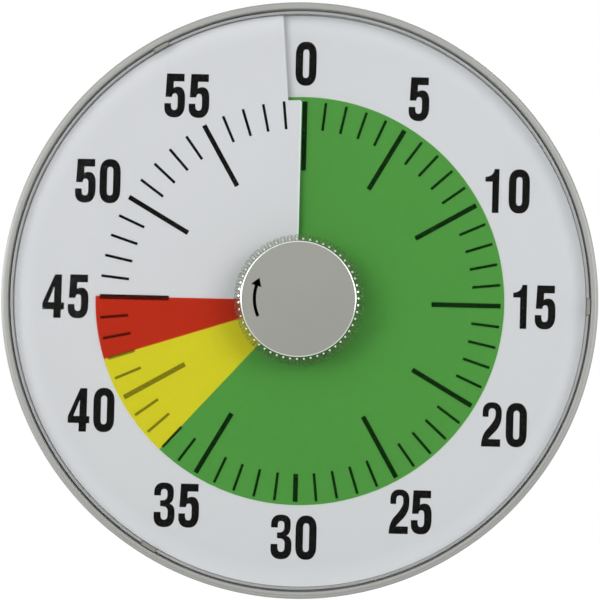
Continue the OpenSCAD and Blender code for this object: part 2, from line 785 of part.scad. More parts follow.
module movement_case() {
    w = movement_wall;
    color(grey_plastic) difference() {
        box([mov_left - w, mov_bottom - w, z_mov_back], [mov_right + w, mov_top + w, z_lid]);
        box([mov_left, mov_bottom, z_mov_floor], [mov_right, mov_top, z_lid + eps]);
        rod(pivot_d / 2 + run_gap, z_mov_back - eps, z_mov_floor + eps);
        translate(third_at) rod(arbor_d / 2 + run_gap, z_mov_back - eps, z_mov_floor + eps);
        translate(rotor_at) rod(rotor_arbor_d / 2 + run_gap, z_mov_back - eps, z_mov_floor + eps);
    }
    // Two pillars that carry the stator
    color(grey_plastic) for (p = [[mov_left + 2.3, rotor_at.y + 4.9], [rotor_at.x + 5.6, rotor_at.y + 4.6]])
        translate(p) rod(1.2, z_mov_floor - eps, z_stator);
}

// Places of the screws in the lid's ears, above and below the movement
function ear_screws() = let (out = movement_wall + ear_w / 2)
    [for (x = [mov_left + ear_w, mov_right - ear_w], y = [mov_bottom - out, mov_top + out]) [x, y]];

module movement_lid() {
    w = movement_wall;
    color(grey_plastic) difference() {
        union() {
            box([mov_left - w, mov_bottom - w, z_lid], [mov_right + w, mov_top + w, z_chassis]);
            for (p = ear_screws())
                box([p.x - 4, p.y - ear_w / 2 - eps, z_lid], [p.x + 4, p.y + ear_w / 2 + eps, z_chassis]);
        }
        rod(collar_d / 2 + 0.2, z_lid - eps, z_chassis + eps);
        translate(third_at) rod(arbor_d / 2 + run_gap, z_lid - eps, z_chassis + eps);
        translate(rotor_at) rod(rotor_arbor_d / 2 + run_gap, z_lid - eps, z_chassis + eps);
        for (p = ear_screws()) translate(p) rod(ear_screw_r + 0.2, z_lid - eps, z_chassis + eps);
    }
}

module movement_screws() {
    color(steel) for (p = ear_screws()) translate(p) {
        rod(2.2, z_lid - 1.4, z_lid);
        rod(ear_screw_r, z_lid - eps, z_deck - 0.5);
    }
}

// ---- Circuit ----

module circuit_board() {
    color([0.10, 0.38, 0.20]) difference() {
        box([-board_left - board_w / 2, -board_h / 2, z_board],
            [-board_left + board_w / 2, board_h / 2, z_board + board_t]);
        for (sx = [-1, 1], sy = [-1, 1])
            translate([sx * stake_x - board_left, sy * stake_y])
                rod(stake_r + run_gap, z_board - eps, z_board + board_t + eps);
    }
}

module timer_chip() {
    lead_y = [-3.5, -1.2, 1.2, 3.5];
    color([0.12, 0.12, 0.13]) translate([-board_left + 4, 8, z_board]) {
        box([-3, -4.5, -1.6], [3, 4.5, -0.2]);
        for (y = lead_y, s = [-1, 1])
            box([s * 3.6 - 0.9, y - 0.25, -0.5], [s * 3.6 + 0.9, y + 0.25, 0]);
    }
}

module crystal() {
    color(steel) translate([-board_left - 8, 9, z_board - 1.05]) rotate([90, 0, 0])
        translate([0, 0, -3]) cylinder(r = 1.05, h = 6);
}

module capacitor() {
    color([0.15, 0.22, 0.45]) translate([-board_left + 10, -10, 0]) rod(2.5, z_board - 5, z_board);
}

module switch_body() {
    color(steel) translate([-board_left - switch_travel / 2, switch_y, 0]) difference() {
        box([-5.5, -3, cover_t + 1.2], [5.5, 3, z_board]);
        box([-slider_w / 2 - switch_travel / 2 - switch_gap, -slider_h / 2 - switch_gap, 0],
            [slider_w / 2 + switch_travel / 2 + switch_gap, slider_h / 2 + switch_gap,
             cover_t + 3.2 + switch_gap]);
    }
}

module sound_switch() {
    color([0.12, 0.12, 0.13]) difference() {
        box([-board_left - slider_w / 2, switch_y - slider_h / 2, 0.4],
            [-board_left + slider_w / 2, switch_y + slider_h / 2, cover_t + 3.2]);
        // Grip notches
        for (i = [-1:1])
            box([-board_left + i - 0.2, switch_y - slider_h, 0], [-board_left + i + 0.2, switch_y + slider_h, 0.8]);
    }
}

module sounder() {
    color([0.12, 0.12, 0.13]) translate([sounder_right, 0, 0]) difference() {
        rod(sounder_d / 2, cover_t, cover_t + sounder_t);
        rod(sounder_port_d / 2, cover_t - eps, cover_t + 1);
    }
}

// ---- Battery ----

module battery_cell() {
    nub_t = 1;
    color([0.75, 0.50, 0.20]) translate([-cell_length / 2, -cell_drop, z_cell]) rotate([0, 90, 0]) {
        rod(cell_d / 2, 0, cell_length - nub_t);
        rod(2.75, cell_length - nub_t - eps, cell_length);
    }
}

module contact_spring() {
    turns = 4;
    sides = 6;
    per_turn = 12;
    w = spring_wire / 2;
    r = spring_d / 2 - w;
    // Helix of wire along x, closed at both ends
    function wire(i) = let (t = i / per_turn, u = t * 360,
        x = w * 1.1 + (spring_length - 2.2 * w) * t / turns)
        [for (j = [0:sides - 1]) let (v = -j * 360 / sides, q = r + w * cos(v))
            [x + w * sin(v), q * cos(u), q * sin(u)]];
    color(steel) translate([bay_x0, -cell_drop, z_cell])
        skin([for (i = [0:turns * per_turn]) wire(i)]);
}

module contact_plate() {
    color(steel) translate([bay_x1 - plate_t, -cell_drop, z_cell]) box([0, -5, -4.5], [plate_t, 5, 5]);
}

// Insulated wire through a few bends: an octagon mitred at each of them
module lead(points, r) {
    last = len(points) - 1;
    // Any direction that no stretch of the wire runs along
    aside = [0.5, 0.6, 0.62];
    function run(i) = let (v = points[i + 1] - points[i]) v / norm(v);
    function unit(v) = v / norm(v);
    skin([for (i = [0:last])
        let (t = i == 0 ? run(0) : i == last ? run(last - 1) : unit(run(i - 1) + run(i)),
             a = unit(cross(t, aside)), b = cross(a, t))
        [for (j = [0:7]) points[i] + r * (cos(j * 45) * a + sin(j * 45) * b)]]);
}

module battery_leads() {
    lead_r = 0.6;
    z_lead = z_board + board_t + 1.4;
    z_end = z_board + board_t;
    y_bay = -cell_drop + bay_half_w + bay_wall + 2;
    x_bay = bay_x1 + bay_wall + 2;
    bend = lead_r;
    // Pads on the board for the two wires, and the board's edge that they cross
    x_plus = -board_left + board_w / 2 - 11;
    x_minus = -board_left + board_w / 2 - 15;
    y_edge = -board_h / 2;
    y_pad = y_edge + 5.6;
    // One wire from each end of the bay to the front of the circuit board
    color([0.7, 0.1, 0.1]) lead([[bay_x1 + bay_wall, -cell_drop, z_lead],
        [x_bay - bend, -cell_drop, z_lead], [x_bay, -cell_drop + bend, z_lead],
        [x_bay, y_bay - bend, z_lead], [x_bay - bend, y_bay, z_lead],
        [-board_left + board_w / 2 + 2, y_bay, z_lead], [x_plus, y_edge - 4, z_lead],
        [x_plus, y_pad - bend, z_lead], [x_plus, y_pad, z_lead - bend],
        [x_plus, y_pad, z_end]], lead_r);
    color([0.1, 0.1, 0.1]) lead([[bay_x0 - bay_wall, -cell_drop, z_lead],
        [bay_x0 - bay_wall - 3.8, -cell_drop, z_lead], [x_minus, y_edge - 6, z_lead],
        [x_minus, y_pad - bend, z_lead], [x_minus, y_pad, z_lead - bend],
        [x_minus, y_pad, z_end]], lead_r);
}

upright() front_housing();
upright() rear_cover();
upright() battery_door();
upright() lens();
upright() dial_sheet();
upright() dial_support();
upright() chassis_plate();
upright() colour_film();
upright() film_hub();
upright() spindle();
upright() knob_skirt();
upright() knob_cap();
upright() front_bush();
upright() bush_nut();
upright() spindle_clip();
upright() clutch_spring();
upright() centre_wheel();
upright() third_wheel();
upright() rotor();
upright() rotor_magnet();
upright() stator();
upright() coil_bobbin();
upright() coil_winding();
upright() movement_case();
upright() movement_lid();
upright() movement_screws();
upright() circuit_board();
upright() timer_chip();
upright() crystal();
upright() capacitor();
upright() sounder();
upright() switch_body();
upright() sound_switch();
upright() battery_cell();
upright() contact_spring();
upright() contact_plate();
upright() battery_leads();
upright() cover_screws();
upright() magnet(-1, 1);  // magnet_upper_left
upright() magnet(1, 1);  // magnet_upper_right
upright() magnet(-1, -1);  // magnet_lower_left
upright() magnet(1, -1);  // magnet_lower_right
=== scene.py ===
# %% [markdown]
# # A visual countdown timer
#
# The real object is a round wall timer. Its knob winds a coloured film out of a
# slit in the white dial, and an hour movement takes it back. The CAD model gives
# every solid its exact place, so this script only dresses it: the parts that the
# eye rests on are built again as fine surfaces, and everything else keeps its CAD
# shape and gets a finish. We start by loading the CAD model as a fixed frame.

# %% Load the frame
import json
import math

import bmesh
import bpy
import numpy as np
from mathutils import Matrix, Vector


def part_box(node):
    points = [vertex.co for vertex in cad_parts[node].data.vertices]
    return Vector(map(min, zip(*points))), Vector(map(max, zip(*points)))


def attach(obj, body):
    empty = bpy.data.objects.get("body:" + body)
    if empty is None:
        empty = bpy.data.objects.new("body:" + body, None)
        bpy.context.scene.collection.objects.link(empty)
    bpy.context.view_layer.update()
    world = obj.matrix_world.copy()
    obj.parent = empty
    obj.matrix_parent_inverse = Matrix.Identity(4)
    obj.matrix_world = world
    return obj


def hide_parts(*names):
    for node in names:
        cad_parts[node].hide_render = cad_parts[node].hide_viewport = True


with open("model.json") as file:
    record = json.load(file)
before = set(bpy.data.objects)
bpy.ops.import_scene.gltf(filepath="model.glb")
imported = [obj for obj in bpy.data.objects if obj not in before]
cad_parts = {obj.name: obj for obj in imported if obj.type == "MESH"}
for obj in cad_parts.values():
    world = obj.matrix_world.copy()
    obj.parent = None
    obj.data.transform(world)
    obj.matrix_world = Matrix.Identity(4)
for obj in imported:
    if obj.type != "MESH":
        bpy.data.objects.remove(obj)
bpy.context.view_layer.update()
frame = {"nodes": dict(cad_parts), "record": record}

nodes = frame["nodes"]

# %% [markdown]
# ## Measures
#
# The timer is easiest to describe as a clock maker would: a radius, a clockwise
# angle from twelve o'clock and a height above the flat back, in millimetres. The
# CAD boxes give the radii and heights, so nothing has to be typed in twice, and
# one function turns such places into Blender's metres.

# %% Radii, heights and the two helices
MM = 0.001


def span(node):
    """Outer radius, lowest height and highest height of a CAD node, in mm."""
    low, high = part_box(node)
    return high.x / MM, -high.y / MM, -low.y / MM


def place(x, y, height):
    """World points of x to the right, y to twelve o'clock and a height above the back, all mm."""
    x, y, height = np.broadcast_arrays(x, y, height)
    return np.stack([x, -height, y], axis=-1) * MM


def polar(radius, angle, height):
    """World points of a radius and height in mm and a clockwise angle in degrees:
    x = r sin a, y = r cos a."""
    a = np.radians(angle)
    return place(radius * np.sin(a), radius * np.cos(a), height)


CASE_R, CASE_BACK, RIM_TOP = span("front_housing")
LENS_R, LENS_BACK, LENS_TOP = span("lens")
SHEET_R = span("dial_sheet")[0]
FILM_R, FILM_LOW, FILM_HIGH = span("colour_film")
KNOB_R, KNOB_FOOT, KNOB_TOP = span("knob_skirt")
CAP_R, CAP_SEAT, CAP_TOP = span("knob_cap")

SHEET_T, FILM_T = 0.5, 0.3
FILM_HOLE_R, SHEET_HOLE_R = 8.25, 8.7
MINUTES_SET = 45
LEAD = MINUTES_SET * 6
PITCH = FILM_HIGH - FILM_LOW - FILM_T
SHEET_TO_FILM = 0.5


def film_height(angle):
    """Middle of the film: it climbs one pitch a turn and is highest at its leading edge."""
    return FILM_HIGH - FILM_T / 2 + PITCH * (angle - LEAD) / 360


def dial_height(angle):
    """Middle of the dial sheet, a parallel helix under the film."""
    return film_height(angle) - SHEET_TO_FILM


print("case radius %.2f, rim %.2f, pitch %.2f mm" % (CASE_R, RIM_TOP, PITCH))

# %% [markdown]
# ## Surfaces from arrays
#
# Nearly every part of the timer is a closed section carried along a path: a ring
# is a section turned round the axis, and the dial is a thin strip carried up a
# helix. So one function is enough. It takes a whole grid of points worked out
# with numpy, joins neighbours with quads, and closes the ends.

# %% A closed surface through a grid of points
SHARP = math.radians(32)
WELD = 1e-7


def finish_mesh(name, mesh):
    """Welds poles and seams, turns the faces outwards, and smooths all but the sharp edges."""
    bm = bmesh.new()
    bm.from_mesh(mesh)
    bmesh.ops.remove_doubles(bm, verts=bm.verts, dist=WELD)
    if bm.calc_volume(signed=True) < 0:
        bmesh.ops.reverse_faces(bm, faces=bm.faces)
    bm.to_mesh(mesh)
    bm.free()
    mesh.shade_smooth()
    mesh.set_sharp_from_angle(angle=SHARP)
    piece = bpy.data.objects.new(name, mesh)
    bpy.context.scene.collection.objects.link(piece)
    print("%s: %d faces" % (name, len(mesh.polygons)))
    return piece


def grid_faces(sections, points, loop):
    """Quads between neighbours of a grid whose second index runs round each section."""
    index = np.arange(sections * points).reshape(sections, points)
    start, ahead = (index, np.roll(index, -1, 0)) if loop else (index[:-1], index[1:])
    return np.stack([start, np.roll(start, -1, 1), np.roll(ahead, -1, 1), ahead], -1).reshape(-1, 4)


def carried(name, grid, loop=False):
    """Closed surface through grid[i, j]: j runs round section i, and i runs along the path."""
    sections, points = grid.shape[:2]
    faces = grid_faces(sections, points, loop).tolist()
    if not loop:
        index = np.arange(sections * points).reshape(sections, points)
        faces += [index[0].tolist(), index[-1, ::-1].tolist()]
    mesh = bpy.data.meshes.new(name)
    mesh.from_pydata(grid.reshape(-1, 3), [], faces)
    return finish_mesh(name, mesh)


def turned(name, section, columns=360):
    """Ring: a section of (radius, height) rows in mm, turned once round the axis."""
    angle = np.arange(columns)[:, None] * 360 / columns
    radius, height = np.array(section, float).T
    return carried(name, polar(radius[None], angle, height[None]), loop=True)


def arc(centre, radius, start, end, count):
    """Points of a round corner: centre + r (cos t, sin t), from start to end degrees."""
    t = np.radians(np.linspace(start, end, count))
    return np.column_stack([centre[0] + radius * np.cos(t), centre[1] + radius * np.sin(t)])


# %% [markdown]
# ## A short way to write materials
#
# A node tree is clumsy to write out link by link. Two small classes help: Value
# wraps the output of a node, so that sums on it add Math nodes by themselves, and
# Finish adds any other node in one call, with its settings first and then the
# values or links of its sockets.

# %% Value and Finish
class Value:
    """A number that varies over a surface; sums on it become Math nodes."""

    def __init__(self, finish, socket):
        self.finish, self.socket = finish, socket

    def maths(self, operation, first, second):
        return self.finish.node("ShaderNodeMath", {"operation": operation}, {0: first, 1: second})

    def __add__(self, other): return self.maths("ADD", self, other)
    def __radd__(self, other): return self.maths("ADD", other, self)
    def __sub__(self, other): return self.maths("SUBTRACT", self, other)
    def __rsub__(self, other): return self.maths("SUBTRACT", other, self)
    def __mul__(self, other): return self.maths("MULTIPLY", self, other)
    def __rmul__(self, other): return self.maths("MULTIPLY", other, self)
    def __truediv__(self, other): return self.maths("DIVIDE", self, other)
    def __rtruediv__(self, other): return self.maths("DIVIDE", other, self)
    def __pow__(self, other): return self.maths("POWER", self, other)
    def __lt__(self, other): return self.maths("LESS_THAN", self, other)
    def __gt__(self, other): return self.maths("GREATER_THAN", self, other)


class Finish:
    """A material in the making."""

    def __init__(self, name):
        self.material = bpy.data.materials.new(name)
        self.material.use_nodes = True
        self.tree = self.material.node_tree
        self.tree.nodes.clear()
        self.place = self.node("ShaderNodeTexCoord", out="Object")

    def node(self, kind, settings=None, sockets=None, out=0):
        """Adds a node and returns one of its outputs as a Value."""
        node = self.tree.nodes.new(kind)
        for key, setting in (settings or {}).items():
            setattr(node, key, setting)
        for key, given in (sockets or {}).items():
            if isinstance(given, Value):
                self.tree.links.new(given.socket, node.inputs[key])
            elif isinstance(given, tuple) and len(given) == 3 and node.inputs[key].type == "RGBA":
                node.inputs[key].default_value = (*given, 1)
            else:
                node.inputs[key].default_value = given
        return Value(self, node.outputs[out])

    def noise(self, size_mm, detail=2, stretch=None):
        """Soft random values from 0 to 1 that change over about size_mm."""
        at = self.place
        if stretch:
            at = self.node("ShaderNodeVectorMath", {"operation": "MULTIPLY"}, {0: at, 1: stretch})
        return self.node("ShaderNodeTexNoise", None,
                         {"Vector": at, "Scale": 1 / (size_mm * MM), "Detail": detail})

    def blend(self, factor, first, second):
        """Colour that goes from first to second as factor goes from 0 to 1."""
        return self.node("ShaderNodeMix", {"data_type": "RGBA"},
                         {"Factor": factor, 6: first, 7: second}, out=2)

    def along(self, axis):
        """The object coordinate along X, Y or Z, in metres."""
        return self.node("ShaderNodeSeparateXYZ", None, {"Vector": self.place}, out=axis)

    def facing(self):
        """0 where the surface faces the eye, up to 1 where it is seen edge on."""
        return self.node("ShaderNodeLayerWeight", None, {"Blend": 0.5}, out="Facing")

    def clear(self, tint):
        """Plain see-through shader."""
        return self.node("ShaderNodeBsdfTransparent", None, {"Color": tint})

    def mixed(self, share, first, second):
        """Shader that goes from first to second as share goes from 0 to 1."""
        return self.node("ShaderNodeMixShader", None, {0: share, 1: first, 2: second})

    def bump(self, height, depth_mm, strength=1.0):
        """Normals tilted by a height that varies from 0 to 1 over depth_mm."""
        return self.node("ShaderNodeBump", None,
                         {"Height": height, "Strength": strength, "Distance": depth_mm * MM})

    def plastic(self, **sockets):
        """The Principled shader, with sockets written in plain words."""
        names = {key.replace("_", " "): value for key, value in sockets.items()}
        return self.node("ShaderNodeBsdfPrincipled", None, names)

    def done(self, shader):
        """Ends the material with a shader and returns it."""
        output = self.tree.nodes.new("ShaderNodeOutputMaterial")
        self.tree.links.new(shader.socket, output.inputs["Surface"])
        return self.material


def shade(colour, factor):
    """A colour made lighter or darker by a plain factor."""
    return tuple(min(1.0, part * factor) for part in colour)


def dress(piece, body, *materials, slot=None, replaces=()):
    """Gives a new piece its materials and the CAD body it rides on, and hides the CAD nodes it
    stands for.
    """
    piece.data.materials.clear()
    for material in materials:
        piece.data.materials.append(material)
    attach(piece, body)
    if replaces:
        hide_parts(*replaces)


def mark_faces(piece, chosen):
    """Gives each face the material number chosen(radius, height, normal height, angle)."""
    count = len(piece.data.polygons)
    centre, normal = np.empty(count * 3), np.empty(count * 3)
    piece.data.polygons.foreach_get("center", centre)
    piece.data.polygons.foreach_get("normal", normal)
    x, depth, y = centre.reshape(-1, 3).T / MM
    angle = np.degrees(np.arctan2(x, y)) % 360
    index = chosen(np.hypot(x, y), -depth, -normal.reshape(-1, 3)[:, 1], angle).astype(np.int32)
    piece.data.polygons.foreach_set("material_index", index)
    print(piece.name, "faces of each finish:", np.bincount(index))


# %% [markdown]
# ## Camera
#
# The photograph was taken from far away and almost straight on: the knob's top
# sits a pixel and a half up and to the left of its foot, so the camera stands a
# little to the right and a little below. The timer itself leans a little over
# one degree clockwise, which the camera repeats by leaning the other way.

# %% Camera
CAMERA_AZIMUTH, CAMERA_ELEVATION, CAMERA_LEAN = 1.45, -1.8, 1.42
CAMERA_DISTANCE = 2.0
FRAME_WIDTH, FRAME_OFFSET = 0.1908, 0.00023


def set_camera():
    """Camera on a sphere round the rim's centre. Its lens makes the rim fill the frame."""
    az, el = math.radians(CAMERA_AZIMUTH), math.radians(CAMERA_ELEVATION)
    toward = Vector((math.sin(az) * math.cos(el), -math.cos(az) * math.cos(el), math.sin(el)))
    target = Vector((FRAME_OFFSET, -RIM_TOP * MM, 0))
    data = bpy.data.cameras.new("camera")
    data.sensor_width = 36
    data.lens = data.sensor_width * CAMERA_DISTANCE / FRAME_WIDTH
    data.clip_end = 20
    camera = bpy.data.objects.new("camera", data)
    bpy.context.scene.collection.objects.link(camera)
    turn = toward.to_track_quat("Z", "Y").to_matrix().to_4x4()
    lean = Matrix.Rotation(math.radians(CAMERA_LEAN), 4, "Z")
    camera.matrix_world = Matrix.Translation(target + toward * CAMERA_DISTANCE) @ turn @ lean
    bpy.context.scene.camera = camera
    return camera


camera = set_camera()
print("camera lens %.0f mm" % camera.data.lens)

# %% [markdown]
# ## Studio
#
# A pale floor, a white surround and six soft lamps. The surround is plain white
# where the camera, a reflection or a clear part looks at it, and dimmer as a
# light, so that a colour renders about as it is written. The floor glows for the
# camera, which keeps it white, and is still dull enough for a soft shadow. Two
# softboxes stand in front, the left one stronger, because in the photograph the
# knob's shade is deeper on the right. A wide wash lamp evens them out, two weak
# lamps at the sides draw the light edge of the rim, and one lights the back.

# %% World, floor and lamps
scene = bpy.context.scene
scene.view_settings.view_transform = "Standard"
# A view through the lens, the skirt and the film crosses many clear surfaces
scene.cycles.transparent_max_bounces = 48
AMBIENT = 0.29
FLOOR_HALF, FLOOR_GAP = 4.0, 0.05
FLOOR_GLOW, FLOOR_SHARE, FLOOR_WHITE = 1.2, 0.8, 0.82
# Direction from the dial, distance and size in metres, and level of each lamp
LAMPS = {"softbox_left": ((-0.44, -1.0, 0.10), 3.0, 1.2, 0.32),
         "softbox_right": ((0.52, -1.0, 0.16), 3.0, 1.2, 0.235),
         "front_wash": ((0.0, -1.0, 0.16), 4.0, 3.4, 0.24),
         "side_left": ((-1.0, -0.02, 0.12), 3.0, 0.8, 0.032),
         "side_right": ((1.0, -0.02, 0.12), 3.0, 0.8, 0.009),
         "rear_fill": ((0.15, 1.0, 0.45), 3.0, 1.6, 0.45)}
LEAST_COS = 0.1


def seen_directly(tree):
    """1 where the camera, a reflection or a view through clear plastic looks, and 0 for light."""
    path = tree.nodes.new("ShaderNodeLightPath")
    total = None
    for ray in ("Is Camera Ray", "Is Glossy Ray", "Is Transmission Ray"):
        if total is None:
            total = path.outputs[ray]
            continue
        larger = tree.nodes.new("ShaderNodeMath")
        larger.operation = "MAXIMUM"
        tree.links.new(total, larger.inputs[0])
        tree.links.new(path.outputs[ray], larger.inputs[1])
        total = larger.outputs[0]
    return total


def set_world():
    """White to look at, dimmer as a light."""
    world = bpy.data.worlds.new("surround")
    scene.world = world
    world.use_nodes = True
    tree = world.node_tree
    background = tree.nodes["Background"]
    background.inputs["Color"].default_value = (1, 1, 1, 1)
    strength = tree.nodes.new("ShaderNodeMapRange")
    tree.links.new(seen_directly(tree), strength.inputs["Value"])
    strength.inputs["To Min"].default_value = AMBIENT
    strength.inputs["To Max"].default_value = 1.0
    tree.links.new(strength.outputs["Result"], background.inputs["Strength"])


def add_floor():
    """Pale floor under the rim: part glow and part plain diffuse, so that shadows stay."""
    across = np.array([-1, 1, 1, -1]) * FLOOR_HALF / MM
    depth = np.array([-1, -1, 1, 1]) * FLOOR_HALF / MM
    corners = place(across, -CASE_R - FLOOR_GAP, depth)
    mesh = bpy.data.meshes.new("floor")
    mesh.from_pydata(corners, [], [[0, 1, 2, 3]])
    floor = bpy.data.objects.new("floor", mesh)
    scene.collection.objects.link(floor)
    finish = Finish("pale_floor")
    glow = finish.node("ShaderNodeEmission", None,
                       {"Color": (1.0, 1.0, 1.0), "Strength": FLOOR_GLOW})
    matt = finish.node("ShaderNodeBsdfDiffuse", None, {"Color": (FLOOR_WHITE,) * 3})
    seen = Value(finish, seen_directly(finish.tree))
    mesh.materials.append(finish.done(finish.mixed(seen * FLOOR_SHARE, matt, glow)))


def add_lamp(name, toward, distance, size, level):
    """Soft square lamp in a direction from the dial. level is the brightness it alone gives
    a white surface that faces the front or the back: P = level pi^2 d^2 / cos. A lamp beside
    the dial is reckoned with the least cos."""
    direction = Vector(toward).normalized()
    data = bpy.data.lights.new(name, "AREA")
    data.size = size
    data.energy = level * math.pi ** 2 * distance ** 2 / max(LEAST_COS, abs(direction.y))
    lamp = bpy.data.objects.new(name, data)
    scene.collection.objects.link(lamp)
    centre = Vector((0, -RIM_TOP * MM, 0))
    lamp.matrix_world = (Matrix.Translation(centre + direction * distance)
                         @ direction.to_track_quat("Z", "Y").to_matrix().to_4x4())


set_world()
add_floor()
for name, lamp in LAMPS.items():
    add_lamp(name, *lamp)
print("lamps:", ", ".join(LAMPS))

# %% [markdown]
# ## Silver case
#
# The case is one moulding with a satin silver coat. Seen from the front it is a
# narrow rim, almost flat, and three small tabs reach from it over the lens. Its
# outer corner is rounded, and there the coat is painted lighter, a painted
# highlight for the light that the corner catches. On the tabs the same coat is
# painted darker, as painted shade. It is a section turned round the axis. The
# tabs are short strips that follow the rim, a piece each.

# %% Case
LEDGE = 1.5
LEDGE_LOW, LEDGE_HIGH = 19, 20
BORE_R = 92.65
TAB_ANGLES = (90, 210, 330)
TAB_LENGTH, TAB_GAP, TAB_STEP = 6.0, 0.05, 0.15
TAB_GROOVE, TAB_ROUND, TAB_FLARE = 0.22, 0.12, 0.16
# A tab slopes over this share of each half, down to this share of its height
TAB_SLOPE, TAB_END = 0.14, 0.25
LENS_WALL = 0.9
RIM_CORNER, RIM_LIP, RIM_CROWN, FOOT_ROUND = 1.1, 0.30, 0.06, 0.4


def case_section():
    """Section of the case wall: flat back, ledge inside, a small slope up from the lens, and a
    rim that falls a little outwards to its round outer corner."""
    bore = [(BORE_R, CASE_BACK), (BORE_R, LEDGE_LOW), (BORE_R - LEDGE, LEDGE_LOW),
            (BORE_R - LEDGE, LEDGE_HIGH), (BORE_R, LEDGE_HIGH)]
    lip = [(BORE_R, RIM_TOP - RIM_LIP - 0.1), (BORE_R + 0.06, RIM_TOP - RIM_LIP + 0.04),
           (BORE_R + RIM_LIP - 0.08, RIM_TOP - 0.04), (BORE_R + RIM_LIP + 0.04, RIM_TOP)]
    corner = arc((CASE_R - RIM_CORNER, RIM_TOP - RIM_CROWN - RIM_CORNER), RIM_CORNER, 86, 0, 12)
    foot = arc((CASE_R - FOOT_ROUND, CASE_BACK + FOOT_ROUND), FOOT_ROUND, 0, -90, 4)
    return np.vstack([bore, lip, corner, foot])


def tab_grid(angle):
    """A tab: a thin strip over the lens's edge, a little below the rim, with a fine groove
    along it. Its height falls towards both ends, and its outer side is shorter."""
    half = math.degrees(TAB_LENGTH / 2 / LENS_R)
    t = np.array([-1, -0.97, -0.86, -0.8, -0.4, 0, 0.4, 0.8, 0.86, 0.97, 1])[:, None]
    r_out, r_in = BORE_R + RIM_LIP, LENS_R - LENS_WALL
    low, high = LENS_TOP + TAB_GAP, RIM_TOP - TAB_STEP
    radius = np.array([r_out, r_out, BORE_R, BORE_R - TAB_GROOVE,
                       r_in + TAB_ROUND, r_in, r_in])[None]
    height = np.array([low, high - 0.4, high - 0.4, high, high, high - TAB_ROUND, low])[None]
    fall = np.clip((1 - np.abs(t)) / TAB_SLOPE, TAB_END, 1)
    flare = 1 - TAB_FLARE * (radius - r_in) / (r_out - r_in)
    return polar(radius + 0 * t, angle + half * t * flare, low + (height - low) * fall)


def silver_coat(name, dark, light):
    """Satin silver coat: flakes give a fine grain, and slow clouds shift the colour."""
    finish = Finish(name)
    grain, cloud = finish.noise(0.25, 3), finish.noise(40, 1)
    return finish.done(finish.plastic(
        Base_Color=finish.blend(cloud, dark, light), Metallic=0.45,
        Roughness=grain * 0.08 + 0.40, Normal=finish.bump(grain, 0.006, 0.25)))


satin_silver = silver_coat("satin_silver", (0.222, 0.225, 0.210), (0.248, 0.250, 0.238))
# Painted shade: the tabs get a darker copy of the same coat
tab_silver = silver_coat("tab_silver", (0.150, 0.155, 0.136), (0.172, 0.177, 0.157))
# Painted highlight: the rounded outer corner gets a lighter copy of the coat
painted_rim_highlight = silver_coat("painted_rim_highlight", (0.330, 0.335, 0.320), (0.370, 0.375, 0.360))

case = turned("case_rim", case_section(), 480)
dress(case, "case_body", satin_silver, painted_rim_highlight,
      slot="silver_housing", replaces=["front_housing"])
# The outer corner's faces take the painted highlight coat
mark_faces(case, lambda radius, height, up, angle:
           (radius > CASE_R - RIM_CORNER) & (height > RIM_TOP - RIM_CORNER - 0.1) & (up < 0.97))
for angle in TAB_ANGLES:
    tab = carried("tab_%d" % angle, tab_grid(angle))
    dress(tab, "case_body", tab_silver, slot="silver_housing")

# %% [markdown]
# ## White dial
#
# The dial is a thin printed sheet, bent into one turn of a shallow helix. Its low
# end runs on under its high end, and the film comes out between them. The cut
# at the high end has a step: the outer ring stops a little earlier than the inner
# part, with a small round corner. So the strip's outer radius and inner radius
# are functions of the angle, and the strip is carried up the helix. Its white is
# painted a little brighter towards the border: painted light that evens out the
# shade which the deep rim casts there.

# %% Dial sheet
TUCK, RING_CUT, STEP_R, SLIT, STEP_ROUND = 6, 4.7, 64, 0.9, 1.0
# The sheet is cut a little full, so that no gap shows at the lens
SHEET_MARGIN = 0.17
# Painted light: the white grows brighter from this radius on, over this width
PAINTED_LIGHT_START, PAINTED_LIGHT_WIDTH = 84.286, 7.143


def dial_columns():
    """Angle, inner radius and outer radius of each column of the dial. Near the cut the
    inner radius follows the line x = -slit, which is r = slit / sin(360 - a)."""
    ring_end = 360 - RING_CUT
    corner_x = SLIT + STEP_ROUND
    turn = np.linspace(math.radians(15), math.pi / 2 - 0.02, 7)
    x = corner_x - STEP_ROUND * np.sin(turn)
    r = STEP_R - STEP_ROUND * (1 - np.cos(turn))
    main = np.linspace(-TUCK, ring_end, 400)
    inner = np.linspace(ring_end + 0.02, 360 - math.degrees(math.asin(corner_x / STEP_R)), 9)
    corner = 360 - np.degrees(np.arcsin(x / r))
    angle = np.concatenate([main, inner, corner])
    outer = np.concatenate([0 * main + SHEET_R + SHEET_MARGIN, 0 * inner + STEP_R, r])
    back = np.radians(np.clip(360 - angle, 0.01, 30))
    hole = np.where(angle > 340, np.maximum(SHEET_HOLE_R, SLIT / np.sin(back)), SHEET_HOLE_R)
    return angle[:, None], hole[:, None], outer[:, None]


def strip(angle, inner, outer, middle, thickness, rows=3):
    """Section of a helical sheet, row by row along the radius, over the top and back below."""
    share = np.linspace(0, 1, rows)[None]
    radius = inner + (outer - inner) * share
    radius = np.concatenate([radius, radius[:, ::-1]], 1)
    side = np.concatenate([np.ones(rows), -np.ones(rows)])[None]
    return polar(radius, angle, middle(angle) + side * thickness / 2)


sheet = Finish("printed_white_sheet")
fibre = sheet.noise(0.6, 4)
tone = sheet.noise(60, 1)
flat_place = sheet.node("ShaderNodeVectorMath", {"operation": "MULTIPLY"},
                        {0: sheet.place, 1: (1, 0, 1)})
from_axis = sheet.node("ShaderNodeVectorMath", {"operation": "LENGTH"},
                       {0: flat_place}, out="Value")
